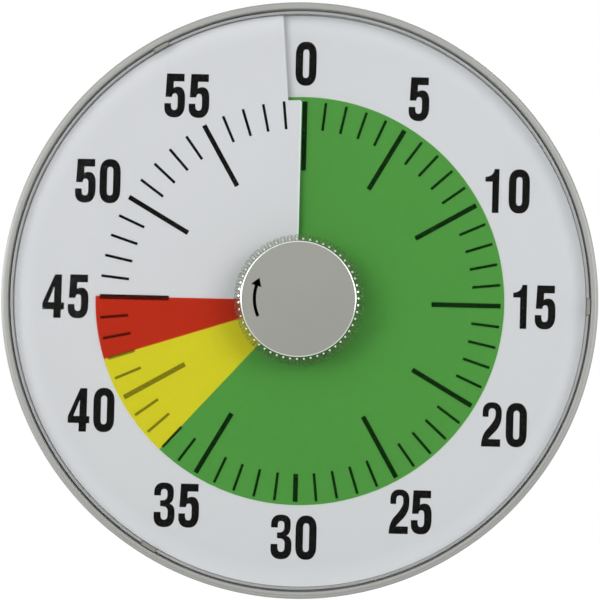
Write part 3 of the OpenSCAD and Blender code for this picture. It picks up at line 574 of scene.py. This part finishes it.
# Painted light: 0 inside, rising to 1 at the border, where the rim's shade falls
painted_border_light = (from_axis - PAINTED_LIGHT_START * MM) / (PAINTED_LIGHT_WIDTH * MM)
white_sheet = sheet.done(sheet.plastic(
    Base_Color=sheet.blend(painted_border_light, sheet.blend(tone, (0.622, 0.629, 0.642), (0.640, 0.646, 0.660)),
                           (0.715, 0.722, 0.737)),
    Roughness=fibre * 0.08 + 0.42, Specular_IOR_Level=0.25,
    Normal=sheet.bump(fibre, 0.006, 0.35)))

angle, hole, outer = dial_columns()
dial = carried("white_dial", strip(angle, hole, outer, dial_height, SHEET_T))
dress(dial, "case_body", white_sheet, slot="white_dial", replaces=["dial_sheet"])

# %% [markdown]
# The sheet's cut edge down the slit is bare plastic, which gathers light like a
# clear ruler's edge; a pale aqua sliver paints that light in as a painted
# highlight. Two thin slivers lie along the cut: that one, which goes on round the
# corner, and a white one beside the outer ring. Each is a strip whose outer line
# is given by arrays of x and y, widened to that line's left.

# %% Cut edges
EDGE_WIDTH, RING_EDGE_WIDTH, EDGE_LIFT = 0.34, 0.28, 0.02


def ribbon(name, x, y, width, lift):
    """Flat strip on the dial: the line x, y is its outer edge, and the strip reaches width to
    the line's left, d = (-dy, dx) / length."""
    along = np.stack([np.gradient(x), np.gradient(y)], 1)
    side = np.stack([-along[:, 1], along[:, 0]], 1) / np.hypot(*along.T)[:, None]
    reach = width * np.array([0, 1, 1, 0])[None, :, None]
    points = np.stack([x, y], 1)[:, None] + side[:, None] * reach
    angle = np.degrees(np.arctan2(points[..., 0], points[..., 1])) % 360
    level = dial_height(angle) + SHEET_T / 2 + np.array([lift, lift, -lift, -lift])[None]
    return carried(name, place(points[..., 0], points[..., 1], level))


# Painted highlight: the pale aqua colour stands in for light along the bare cut edge
pale = Finish("slit_edge_painted_highlight")
pale_cloud = pale.noise(8, 2)
painted_slit_highlight = pale.done(pale.plastic(
    Base_Color=pale.blend(pale_cloud, (0.66, 0.78, 0.72), (0.74, 0.86, 0.80)),
    Roughness=pale_cloud * 0.1 + 0.2, Specular_IOR_Level=0.4))

turn = np.linspace(0, math.pi / 2, 9)
slit_y = np.linspace(SHEET_HOLE_R + 0.2, STEP_R - STEP_ROUND, 60)
corner_x = -SLIT - STEP_ROUND * (1 - np.cos(turn[1:]))
corner_y = STEP_R - STEP_ROUND * (1 - np.sin(turn[1:]))
slit_edge = ribbon("slit_edge", np.concatenate([0 * slit_y - SLIT - 0.01, corner_x]),
                   np.concatenate([slit_y, corner_y]), EDGE_WIDTH, EDGE_LIFT)
ring_r = np.linspace(STEP_R + 0.4, SHEET_R, 24)
ring_a = math.radians(360 - RING_CUT - 0.01)
ring_edge = ribbon("ring_edge", ring_r * math.sin(ring_a), ring_r * math.cos(ring_a),
                   RING_EDGE_WIDTH, EDGE_LIFT)
dress(slit_edge, "case_body", painted_slit_highlight)
dress(ring_edge, "case_body", white_sheet)

# %% [markdown]
# ## Coloured film
#
# The film is one turn of the same helix. It is red for the last three minutes,
# yellow for the five before and green for the rest, and it is clear enough for the
# printed ticks to show through. Real light crosses it twice, in and out, so the
# tint of one face is the fourth root of what the eye sees. A little plain colour
# mixed in stands for the light that the film scatters itself. The yellow holds
# more of it than the others, so the black ticks look olive through it.

# %% Film
RED_MINUTES, YELLOW_MINUTES = 3, 5


def film_material(name, body, passed, scattered):
    """Clear tint mixed with a share, body, of solid colour. passed is the light left after
    crossing the film in and out, so each of the four faces crossed has its fourth root."""
    finish = Finish(name)
    haze = finish.noise(30, 2)
    tint = tuple(min(1.0, part ** 0.25 / (1 - body)) for part in passed)
    solid = finish.plastic(
        Base_Color=finish.blend(haze, shade(scattered, 0.92), shade(scattered, 1.08)),
        Roughness=0.35, Specular_IOR_Level=0.15)
    return finish.done(finish.mixed(body, finish.clear(tint), solid))


green = film_material("green_film", 0.05, (0.114, 0.422, 0.073), (0.03, 0.22, 0.03))
yellow = film_material("yellow_film", 0.12, (0.580, 0.548, 0.018), (0.96, 0.85, 0.04))
red = film_material("red_film", 0.05, (0.585, 0.030, 0.010), (0.85, 0.075, 0.02))

film_angle = np.linspace(LEAD - 360, LEAD, 721)[:, None]
film = carried("colour_film_sheet", strip(film_angle, FILM_HOLE_R, FILM_R, film_height, FILM_T, 2))
dress(film, "film_body", green, yellow, red, slot="green_film", replaces=["colour_film"])


def film_colour(radius, height, up, angle):
    """Green 0, yellow 1 or red 2, by the angle back from the leading edge."""
    turns_up = (height - film_height(angle)) / PITCH
    back = LEAD - (angle + 360 * np.round(turns_up))
    red_end, yellow_end = RED_MINUTES * 6, (RED_MINUTES + YELLOW_MINUTES) * 6
    return np.where(back < red_end, 2, np.where(back < yellow_end, 1, 0))


mark_faces(film, film_colour)

# %% [markdown]
# ## Printed ticks
#
# Ink has no thickness that matters, but a drawing on a surface would blur when the
# model is looked at closely. So each tick is a real sliver, four hundredths of a
# millimetre thick, that follows the dial. All sixty come from one array: their
# corners are worked out together, and the same six faces are repeated.

# %% Ticks
INK_T, INK_SINK = 0.045, 0.01
TICK_R, PRINT_X, PRINT_Y = 64.0, 0.1, -0.2
MINOR_LENGTH, MINOR_WIDTH = 8.95, 0.88
MAJOR_LENGTH, MAJOR_WIDTH = 22.1, 1.56
# The tick at half an hour is wide but short, because its numeral stands close
SHORT_MAJOR = 30

ink = Finish("black_ink")
ink_tone = ink.noise(1.5, 2)
black_ink = ink.done(ink.plastic(
    Base_Color=ink.blend(ink_tone, (0.0055, 0.0055, 0.0048), (0.0078, 0.0078, 0.0070)),
    Roughness=ink_tone * 0.1 + 0.42, Specular_IOR_Level=0.01))


def box_faces(count):
    """Faces of count separate boxes whose eight corners are stored as two rings of four."""
    one = np.array([[0, 1, 2, 3], [7, 6, 5, 4], [0, 4, 5, 1],
                    [1, 5, 6, 2], [2, 6, 7, 3], [3, 7, 4, 0]])
    return (one[None] + 8 * np.arange(count)[:, None, None]).reshape(-1, 4)


def tick_mesh():
    """A bar for each minute: across it from -w/2 to w/2, along it from the outer end inwards."""
    minute = np.arange(60)
    fifth = minute % 5 == 0
    length = np.where(fifth & (minute != SHORT_MAJOR), MAJOR_LENGTH, MINOR_LENGTH)
    width = np.where(fifth, MAJOR_WIDTH, MINOR_WIDTH)
    a = np.radians(minute * 6)[:, None]
    across = np.array([-0.5, 0.5, 0.5, -0.5])[None] * width[:, None]
    along = TICK_R - np.array([0, 0, 1, 1])[None] * length[:, None]
    x = along * np.sin(a) + across * np.cos(a) + PRINT_X
    y = along * np.cos(a) - across * np.sin(a) + PRINT_Y
    angle = minute[:, None] * 6 + np.degrees(across / along)
    level = dial_height(angle) + SHEET_T / 2
    corners = np.concatenate([place(x, y, level + INK_T), place(x, y, level - INK_SINK)], axis=1)
    mesh = bpy.data.meshes.new("dial_ticks")
    mesh.from_pydata(corners.reshape(-1, 3), [], box_faces(60).tolist())
    return mesh


ticks = finish_mesh("dial_ticks", tick_mesh())
dress(ticks, "case_body", black_ink)

# %% [markdown]
# ## Numerals
#
# The figures are tall, narrow and heavy. Instead of a font, each one is drawn as a
# sign writer would: straight strokes, and round stretches that each turn through a
# quarter. A quarter goes from where the pen is to a new point and is pulled
# towards a corner. Its formula is a superellipse, |cos t|^(2/n) and |sin t|^(2/n),
# where n = 2 is an ellipse and a larger n is squarer. A flat curve fills the
# outline and its counter, and the filled figure is then laid on the helix.

# %% Outlines of the figures
SQUARE = 2.35


def outline(start, *steps):
    """Points of a closed outline. A step (x, y) is a straight stroke to that point, and a
    step ((cx, cy), (x, y)) is a quarter turn to (x, y) pulled to the corner (cx, cy)."""
    runs, pen = [np.array([start], float)], np.array(start, float)
    t = np.radians(np.linspace(0, 90, 11)[1:])[:, None]
    for step in steps:
        if np.ndim(step) == 1:
            pen = np.array(step, float)
            runs.append(pen[None])
            continue
        corner, end = (np.array(point, float) for point in step)
        centre = pen + end - corner
        leaving, coming = np.cos(t).clip(0) ** (2 / SQUARE), np.sin(t) ** (2 / SQUARE)
        runs.append(centre + (pen - centre) * leaving + (end - centre) * coming)
        pen = end
    return np.vstack(runs)


def slot_shape(centre, w, h, bend):
    """Upright slot: straight sides, and ends that turn over a height of bend."""
    x, y = centre
    return outline((x, y + h), ((x + w, y + h), (x + w, y + h - bend)), (x + w, y - h + bend),
                   ((x + w, y - h), (x, y - h)), ((x - w, y - h), (x - w, y - h + bend)),
                   (x - w, y + h - bend), ((x - w, y + h), (x, y + h)))


FIGURES = {
    "0": (6.65, [
        slot_shape((3.32, 6.88), 3.32, 6.88, 4.3), slot_shape((3.32, 6.88), 0.95, 4.45, 1.3)]),
    "1": (4.4, [outline(
        (2.24, 0), (4.35, 0), (4.4, 13.7), (2.85, 13.7),
        ((2.5, 11.3), (0, 11.2)), (0, 9.7), (2.24, 9.7))]),
    "2": (6.4, [outline(
        (0.33, 9.24), (0.33, 10.7), ((0.33, 13.8), (3.3, 13.8)),
        ((6.35, 13.8), (6.35, 10.4)), (6.3, 9.0), ((6.2, 6.9), (4.6, 4.9)),
        ((2.6, 2.9), (2.3, 2.35)), (6.05, 2.35), (6.05, 0), (0, 0),
        ((0, 3.2), (1.6, 5.2)), ((4.4, 8.2), (4.4, 9.9)), (4.4, 10.6),
        ((4.4, 11.9), (3.3, 11.9)), ((2.2, 11.9), (2.2, 10.6)), (2.16, 9.24))]),
    "3": (6.6, [outline(
        (0, 9.8), (0, 10.7), ((0, 13.85), (3.17, 13.85)),
        ((6.2, 13.85), (6.2, 11.2)), (6.2, 10.2), ((6.2, 7.9), (4.9, 7.35)),
        ((6.6, 6.9), (6.6, 4.6)), (6.6, 3.6), ((6.6, 0), (3.3, 0)),
        ((0, 0), (0, 3.2)), (0, 4.7), (2.16, 4.7), (2.2, 3.6),
        ((2.24, 2.3), (3.3, 2.3)), ((4.4, 2.3), (4.4, 3.8)), (4.4, 4.9),
        ((4.4, 6.35), (2.9, 6.45)), (1.95, 6.5), (1.95, 8.3), (2.7, 8.3),
        ((4.2, 8.4), (4.2, 9.9)), (4.2, 10.7), ((4.2, 11.85), (3.15, 11.85)),
        ((2.16, 11.85), (2.16, 10.7)), (2.16, 9.8))]),
    "4": (6.84, [outline(
        (3.79, 13.5), (6.0, 13.5), (5.95, 4.84), (6.84, 4.84), (6.84, 2.65),
        (5.9, 2.65), (5.85, 0), (3.48, 0), (3.5, 2.65), (0, 2.65), (0, 4.7)),
        outline((3.7, 9.85), (3.62, 4.84), (1.75, 4.84))]),
    "5": (6.5, [outline(
        (0.61, 13.65), (6.19, 13.65), (6.19, 11.25), (2.83, 11.25), (2.77, 9.1),
        ((3.2, 9.6), (4.2, 9.6)), ((6.5, 9.6), (6.5, 6.0)), (6.5, 4.4),
        ((6.5, 0), (3.2, 0)), ((0, 0), (0, 3.2)), (0, 4.4), (2.1, 4.4), (2.12, 3.6),
        ((2.15, 2.3), (3.15, 2.3)), ((4.15, 2.3), (4.15, 3.8)), (4.15, 6.0),
        ((4.15, 7.5), (3.25, 7.5)), ((2.36, 7.5), (2.36, 6.35)), (0.28, 6.35))]),
}
print("figures drawn:", " ".join(FIGURES))

# %% [markdown]
# The layout was set on the real dial: each number stands upright near its
# tick, a millimetre more or less from a common circle. So the middle of each one
# is given in millimetres from the dial's centre. A one needs more room after it
# than the other figures.

# %% Numerals on the dial
NUMERAL_AT = {0: (0.1, 75.9, 0), 5: (36.5, 65.4, 0), 10: (65.4, 36.6, 3.05), 15: (74.8, -0.2, 2.55),
              20: (66.1, -38.0, 1.3), 25: (36.9, -66.5, 0.55), 30: (-0.1, -75.5, 1.2),
              35: (-37.7, -66.2, 1.2), 40: (-65.7, -36.4, 1.2), 45: (-74.8, -0.3, 1.2),
              50: (-65.4, 36.7, 1.2), 55: (-37.6, 64.6, 1.2)}
FIGURE_HEIGHT = 13.76
WIDER, TALLER = 1.01, 1.027


def numeral_loops(number, x, y, gap):
    """Outlines of a number's figures, side by side with a gap and centred on a point."""
    loops, start = [], 0.0
    for figure in str(number):
        width, shapes = FIGURES[figure]
        loops += [shape + [start, 0] for shape in shapes]
        start += width + gap
    middle = np.array([(start - gap) / 2, FIGURE_HEIGHT / 2])
    return [(loop - middle) * [WIDER, TALLER] + [x, y] for loop in loops]


def filled(name, loops, thickness):
    """Flat filled curve through closed outlines, as a thin closed mesh in mm, centred on 0."""
    curve = bpy.data.curves.new(name, "CURVE")
    curve.dimensions, curve.fill_mode, curve.extrude = "2D", "BOTH", thickness / 2
    for loop in loops:
        spline = curve.splines.new("POLY")
        spline.points.add(len(loop) - 1)
        # Each point is x, y, 0 and a weight of 1
        spline.points.foreach_set("co", np.column_stack([loop, 0 * loop]).ravel()
                                  + np.tile([0, 0, 0, 1], len(loop)))
        spline.use_cyclic_u = True
    holder = bpy.data.objects.new(name, curve)
    scene.collection.objects.link(holder)
    graph = bpy.context.evaluated_depsgraph_get()
    mesh = bpy.data.meshes.new_from_object(holder.evaluated_get(graph))
    bpy.data.objects.remove(holder)
    mesh.materials.clear()
    mesh.name = name
    return mesh


def lay(mesh, surface):
    """Moves a flat mesh onto a surface: x and y stay, and the height is the surface's own
    height there plus the mesh's own thickness."""
    flat = np.empty(len(mesh.vertices) * 3)
    mesh.vertices.foreach_get("co", flat)
    x, y, z = flat.reshape(-1, 3).T
    mesh.vertices.foreach_set("co", surface(x, y, z).ravel())
    mesh.update()
    return mesh


def onto_dial(first_angle):
    """Surface for lay: the dial's upper face, with angles counted from first_angle on."""
    def surface(x, y, z):
        angle = (np.degrees(np.arctan2(x, y)) - first_angle) % 360 + first_angle
        return place(x, y, dial_height(angle) + SHEET_T / 2 + z + (INK_T - INK_SINK) / 2)
    return surface


for minute, (x, y, gap) in NUMERAL_AT.items():
    name = "numeral_%02d" % minute
    flat = filled(name, numeral_loops(minute, x, y, gap), INK_T + INK_SINK)
    # The nought stands on the low end, right of the cut, and may reach across twelve o'clock
    numeral = finish_mesh(name, lay(flat, onto_dial(-30 if minute == 0 else 0)))
    dress(numeral, "case_body", black_ink)

# %% [markdown]
# ## Clear lens
#
# The lens is a clear moulding: a flat pane, and a wall that runs back from its
# edge to the ledge. A clear part shows mostly what is behind it. So its shader is
# transparent, with a polish that only shows at shallow angles, where real plastic
# also starts to mirror. The wall and the ring of the pane above it carry light
# along inside, and that is painted in as a pale grey glow: those faces share a
# finish of their own, a share of painted light.

# %% Lens
BUSH_R, PANE, PANE_ROUND, WALL_ROUND = 5.0, 1.5, 0.1, 0.3
EDGE_IN, EDGE_OUT = LENS_R - LENS_WALL, LENS_R - PANE_ROUND

# Transparent, with a share of polish = 0.001 + 0.55 facing^4
pane = Finish("clear_lens")
wipe = pane.noise(12, 2)
polish = pane.plastic(Base_Color=pane.blend(wipe, (0.80, 0.82, 0.83), (0.84, 0.86, 0.87)),
                      Roughness=0.04, Metallic=1.0)
lens_clear = pane.done(pane.mixed(pane.facing() ** 4.0 * 0.55 + 0.001,
                                  pane.clear((0.995, 0.998, 1.0)), polish))

# A share of pale solid colour over what lies behind: painted glow for the light carried in the
# lens's edge
rim_light = Finish("lens_edge_painted_glow")
glow = rim_light.noise(25, 1)
body = rim_light.plastic(Base_Color=rim_light.blend(glow, (0.66, 0.67, 0.67), (0.84, 0.85, 0.86)),
                         Roughness=0.2, Specular_IOR_Level=0.3)
lens_edge_painted_glow = rim_light.done(rim_light.mixed(0.45, rim_light.clear((0.97, 0.98, 0.99)), body))

lens_section = np.vstack([
    [(BUSH_R, LENS_TOP), (EDGE_IN, LENS_TOP)],
    arc((EDGE_OUT, LENS_TOP - PANE_ROUND), PANE_ROUND, 90, 0, 4),
    [(LENS_R, LENS_BACK), (EDGE_IN, LENS_BACK)],
    arc((EDGE_IN - WALL_ROUND, LENS_TOP - PANE - WALL_ROUND), WALL_ROUND, 0, 90, 5),
    [(BUSH_R, LENS_TOP - PANE)]])
lens = turned("lens_shell", lens_section)
dress(lens, "case_body", lens_clear, lens_edge_painted_glow, slot="clear_lens", replaces=["lens"])
mark_faces(lens, lambda radius, height, up, angle:
           (radius > EDGE_IN - 0.05) & (radius < EDGE_OUT) & (height > LENS_BACK + 0.1))

# %% [markdown]
# ## Knob
#
# The knob is a clear fluted skirt with a metal cap let into its top. The skirt is
# a turned section whose outside is scalloped: its radius dips by the flute's depth
# fifty-five times a turn, and the ribs between keep a narrow crest. The tops of
# the crests and the cap's round edge are polished, and mirror the room.

# %% Skirt and cap
FLUTES, FLUTE_DEPTH, FLUTE_COLUMNS = 55, 0.45, 14
SKIRT_WALL, KNOB_HUB_R, SPINDLE_R, WEB = 2.0, 6.0, 3.2, 1.6
SKIRT_TOP_R, WELL_GAP, CAP_EDGE, CAP_ROUND = 19.4, 0.15, 0.5, 0.3


def skirt_grid():
    """Turned section whose outer points move in by depth * (1 - |sin(n a / 2)|)^0.8 for n
    flutes."""
    columns = FLUTES * FLUTE_COLUMNS
    angle = np.arange(columns)[:, None] * 360 / columns
    well = CAP_R + WELL_GAP
    outside = np.array([(KNOB_R, KNOB_FOOT), (KNOB_R - 0.02, KNOB_FOOT + 0.3),
                        (SKIRT_TOP_R + 0.06, KNOB_TOP - 0.62), (SKIRT_TOP_R + 0.02, KNOB_TOP - 0.5),
                        (SKIRT_TOP_R - 0.5, KNOB_TOP - 0.06), (SKIRT_TOP_R - 0.56, KNOB_TOP)])
    inside = np.array([(well + 0.1, KNOB_TOP), (well, KNOB_TOP - 0.1), (well, CAP_SEAT),
                       (SPINDLE_R, CAP_SEAT), (SPINDLE_R, KNOB_FOOT), (KNOB_HUB_R, KNOB_FOOT),
                       (KNOB_HUB_R, CAP_SEAT - WEB), (SKIRT_TOP_R - SKIRT_WALL, CAP_SEAT - WEB),
                       (KNOB_R - SKIRT_WALL, KNOB_FOOT)])
    section = np.vstack([outside, inside])
    fluted = np.array([1, 1, 1, 1, 0.3, 0.1] + [0] * len(inside))[None]
    dip = FLUTE_DEPTH * (1 - np.abs(np.sin(np.radians(angle * FLUTES / 2)))) ** 0.8
    return polar(section[None, :, 0] - fluted * dip, angle, section[None, :, 1] + 0 * angle)


def cap_section():
    """Disc with a round polished edge, from the axis out over the top and back underneath."""
    return np.vstack([[(0, CAP_TOP)], [(CAP_R - CAP_EDGE, CAP_TOP)],
                      arc((CAP_R - CAP_EDGE, CAP_TOP - CAP_EDGE), CAP_EDGE, 84, 0, 9),
                      [(CAP_R, CAP_SEAT + CAP_ROUND), (CAP_R - CAP_ROUND, CAP_SEAT),
                       (0, CAP_SEAT)]])


def ribbed_clear():
    """Clear plastic with cast ribs. The wall bends light away between crests and valleys, so
    it is dark there, which a share of dark solid colour paints in as painted shade:
    share of dark = low + more * ((1 - cos(2 n a)) / 2)^2.5 for n flutes."""
    finish = Finish("clear_skirt")
    around = finish.along("X")
    around = around.maths("ARCTAN2", around, finish.along("Z")) * (2 * FLUTES)
    wave = 0.5 - 0.5 * finish.node("ShaderNodeMath", {"operation": "COSINE"}, {0: around})
    smear = finish.noise(3, 2)
    solid = finish.plastic(Base_Color=finish.blend(smear, (0.13, 0.135, 0.06), (0.21, 0.215, 0.11)),
                           Roughness=0.25, Specular_IOR_Level=0.3)
    polish = finish.plastic(Base_Color=finish.blend(smear, (0.80, 0.82, 0.80), (0.86, 0.88, 0.86)),
                            Roughness=0.1, Metallic=1.0)
    ribs = finish.mixed(wave ** 2.5 * 0.26 + 0.03, finish.clear((0.91, 0.925, 0.89)), solid)
    return finish.done(finish.mixed(finish.facing() ** 6 * 0.05 + 0.012, ribs, polish))


def glint(name, dark, light, rough):
    """Polished edge that mirrors its surroundings."""
    finish = Finish(name)
    cloud = finish.noise(6, 2)
    return finish.done(finish.plastic(Base_Color=finish.blend(cloud, dark, light),
                                      Metallic=1.0, Roughness=cloud * 0.04 + rough))


skirt_clear = ribbed_clear()
crest_glint = glint("crest_glint", (0.84, 0.92, 0.82), (0.90, 0.96, 0.88), 0.15)
skirt = carried("fluted_skirt", skirt_grid(), loop=True)
dress(skirt, "spindle_body", skirt_clear, crest_glint, slot="clear_skirt", replaces=["knob_skirt"])
mark_faces(skirt, lambda radius, height, up, angle:
           (height > KNOB_TOP - 0.45) & (radius > SKIRT_TOP_R - 0.6)
           & (np.abs((angle * FLUTES / 360) % 1 - 0.5) < 1.6 / FLUTE_COLUMNS))

satin_cap = Finish("satin_cap")
cap_grain = satin_cap.noise(0.18, 3)
cap_cloud = satin_cap.noise(14, 2)
cap_face = satin_cap.done(satin_cap.plastic(
    Base_Color=satin_cap.blend(cap_cloud, (0.206, 0.209, 0.186), (0.222, 0.225, 0.201)),
    Metallic=0.35, Roughness=cap_grain * 0.10 + 0.42, Normal=satin_cap.bump(cap_grain, 0.01, 0.35)))
cap_edge = glint("polished_edge", (0.55, 0.57, 0.53), (0.63, 0.65, 0.61), 0.12)

cap = turned("cap_disc", cap_section())
dress(cap, "spindle_body", cap_face, cap_edge, slot="knob_cap_metal", replaces=["knob_cap"])
mark_faces(cap, lambda radius, height, up, angle: (up < 0.985) & (height > CAP_SEAT + 0.4))

# %% [markdown]
# The cap carries a printed arrow that says which way to wind. It is a ribbon along
# an arc whose half width is a function of the way along: constant for the stroke,
# and a straight taper for the head.

# %% Arrow
ARROW_R, ARROW_TAIL, ARROW_NECK, ARROW_TIP = 13.9, 245.3, 286.2, 297.0
ARROW_STROKE, ARROW_HEAD = 1.02, 3.35


def arrow_grid():
    """Ribbon of half width w at angle a: stroke/2 up to the neck, then head/2 falling to 0."""
    shaft = np.linspace(ARROW_TAIL, ARROW_NECK, 40)
    head = np.linspace(ARROW_NECK + 0.01, ARROW_TIP, 12)
    angle = np.concatenate([shaft, head])[:, None]
    left = (ARROW_TIP - head) / (ARROW_TIP - ARROW_NECK)
    half = np.concatenate([0 * shaft + ARROW_STROKE / 2, ARROW_HEAD / 2 * left + 0.02])[:, None]
    side = np.array([-1, 1, 1, -1])[None]
    height = CAP_TOP + np.array([INK_T, INK_T, -INK_SINK, -INK_SINK])[None]
    return polar(ARROW_R + half * side, angle, height - INK_T + 0 * angle)


arrow = carried("winding_arrow", arrow_grid())
dress(arrow, "spindle_body", black_ink)

# %% [markdown]
# ## Finishes for the CAD nodes
#
# The parts inside and at the back keep their CAD shapes. Each gets the finish of
# its real counterpart: spark-eroded plastic has a fine even grain, turned brass and
# drawn steel have faint lines, the coil shows its turns of wire, and the board has
# copper tracks under green lacquer. All patterns use object coordinates, so they
# stay with the part.

# %% Plastics and metals
def moulded(name, colour, grain_mm=0.35, rough=0.5, depth=0.02, **more):
    """Moulded plastic: even colour with a slow drift, and a fine eroded grain."""
    finish = Finish(name)
    fine, slow = finish.noise(grain_mm, 3), finish.noise(25, 2)
    return finish.done(finish.plastic(
        Base_Color=finish.blend(slow, shade(colour, 0.94), shade(colour, 1.05)),
        Roughness=fine * 0.15 + (rough - 0.07), Normal=finish.bump(fine, depth, 0.6), **more))


def metal(name, colour, rough=0.3, line_mm=0.15, stretch=(1, 0.05, 1)):
    """Drawn or plated metal: fine lines in one direction vary its roughness and normal."""
    finish = Finish(name)
    lines, stain = finish.noise(line_mm, 2, stretch), finish.noise(4, 3)
    return finish.done(finish.plastic(
        Base_Color=finish.blend(stain, shade(colour, 0.88), shade(colour, 1.06)), Metallic=1.0,
        Roughness=lines * 0.18 + (rough - 0.09), Normal=finish.bump(lines, 0.004, 0.4)))


cover_plastic = moulded("textured_silver_cover", (0.40, 0.405, 0.39), 0.5, 0.55, 0.035,
                        Metallic=0.2)
white_plastic = moulded("white_moulding", (0.72, 0.72, 0.70), 0.4, 0.45)
grey_plastic = moulded("grey_moulding", (0.16, 0.165, 0.17), 0.4, 0.5)
black_plastic = moulded("black_moulding", (0.018, 0.018, 0.02), 0.3, 0.45)
sintered = moulded("sintered_magnet", (0.035, 0.035, 0.038), 0.12, 0.6, 0.03)
steel_bright = metal("bright_steel", (0.60, 0.60, 0.61), 0.28)
nickel = metal("nickel_plate", (0.66, 0.65, 0.62), 0.20, 0.6, (1, 1, 1))
brass_cut = metal("cut_brass", (0.72, 0.50, 0.20), 0.26, 0.2, (0.05, 1, 0.05))


# %% Winding, board, sleeves and leads
def wound_copper():
    """Enamelled wire: waves across the coil's axis give the turns their bump and dark gaps."""
    finish = Finish("copper_winding")
    turns = finish.node("ShaderNodeTexWave", {"bands_direction": "X"},
                        {"Vector": finish.place, "Scale": 1000, "Distortion": 0.3,
                         "Detail": 1.0}, out="Fac")
    return finish.done(finish.plastic(
        Base_Color=finish.blend(turns, (0.20, 0.06, 0.02), (0.66, 0.27, 0.11)),
        Metallic=0.8, Roughness=0.34, Normal=finish.bump(turns, 0.08, 0.8)))


def lacquered_board():
    """Green lacquer over copper tracks: a grid of cells decides where a track runs."""
    finish = Finish("circuit_board_lacquer")
    upright = finish.node("ShaderNodeVectorRotate", {"rotation_type": "X_AXIS"},
                          {"Vector": finish.place, "Angle": math.pi / 2})
    tracks = finish.node("ShaderNodeTexBrick", {"offset": 0.5},
                         {"Vector": upright, "Scale": 260, "Mortar Size": 0.06}, out="Fac")
    fine = finish.noise(0.8, 2)
    return finish.done(finish.plastic(
        Base_Color=finish.blend(tracks, (0.012, 0.10, 0.035), (0.03, 0.20, 0.08)),
        Roughness=fine * 0.1 + 0.25, Normal=finish.bump(tracks, 0.03, 0.5)))


def sleeve(name, body, band, at, axis):
    """Plain printed sleeve: a band of a second colour beyond a level along one axis."""
    finish = Finish(name)
    fine = finish.noise(1.2, 2)
    return finish.done(finish.plastic(Base_Color=finish.blend(finish.along(axis) > at, body, band),
                                      Metallic=0.1, Roughness=fine * 0.1 + 0.28))


def lead_insulation():
    """Red lead and black lead: the black one runs left of a line across the case."""
    finish = Finish("lead_insulation")
    x, z = finish.along("X"), finish.along("Z")
    low = z.maths("MAXIMUM", (x + 0.034) * -1.3 - 0.046, -0.047)
    far_left, left = x < -0.050, x < -0.020
    black = left.maths("MAXIMUM", far_left, left * (z < low))
    fine = finish.noise(0.5, 2)
    return finish.done(finish.plastic(
        Base_Color=finish.blend(black, (0.45, 0.02, 0.015), (0.015, 0.015, 0.016)),
        Roughness=fine * 0.12 + 0.38, Normal=finish.bump(fine, 0.01, 0.3)))


copper = wound_copper()
board = lacquered_board()
cell_sleeve = sleeve("cell_sleeve", (0.03, 0.03, 0.035), (0.55, 0.36, 0.13), 0.012, "X")
cap_sleeve = sleeve("capacitor_sleeve", (0.02, 0.035, 0.16), (0.50, 0.50, 0.52), -0.0034, "Y")
leads = lead_insulation()

# %% [markdown]
# Each CAD node takes the finish that its slot in the record names. The leads and
# sleeves have their own.

# %% Dress the CAD nodes
BY_SLOT = {
    "silver_cover": cover_plastic, "white_support": white_plastic, "grey_chassis": grey_plastic,
    "steel": steel_bright, "brass": brass_cut, "magnet_black": sintered, "lead_red": leads,
    "black_plastic": black_plastic, "copper_wire": copper, "green_board": board,
    "blue_sleeve": cap_sleeve, "cell_label": cell_sleeve, "magnet_nickel": nickel,
    "silver_housing": satin_silver, "clear_lens": lens_clear, "white_dial": white_sheet,
    "green_film": green, "clear_skirt": skirt_clear, "knob_cap_metal": cap_face}

for part in frame["record"]["subparts"]:
    mesh = nodes[part["node"]].data
    mesh.materials.clear()
    mesh.materials.append(BY_SLOT[part["material_slot"]])
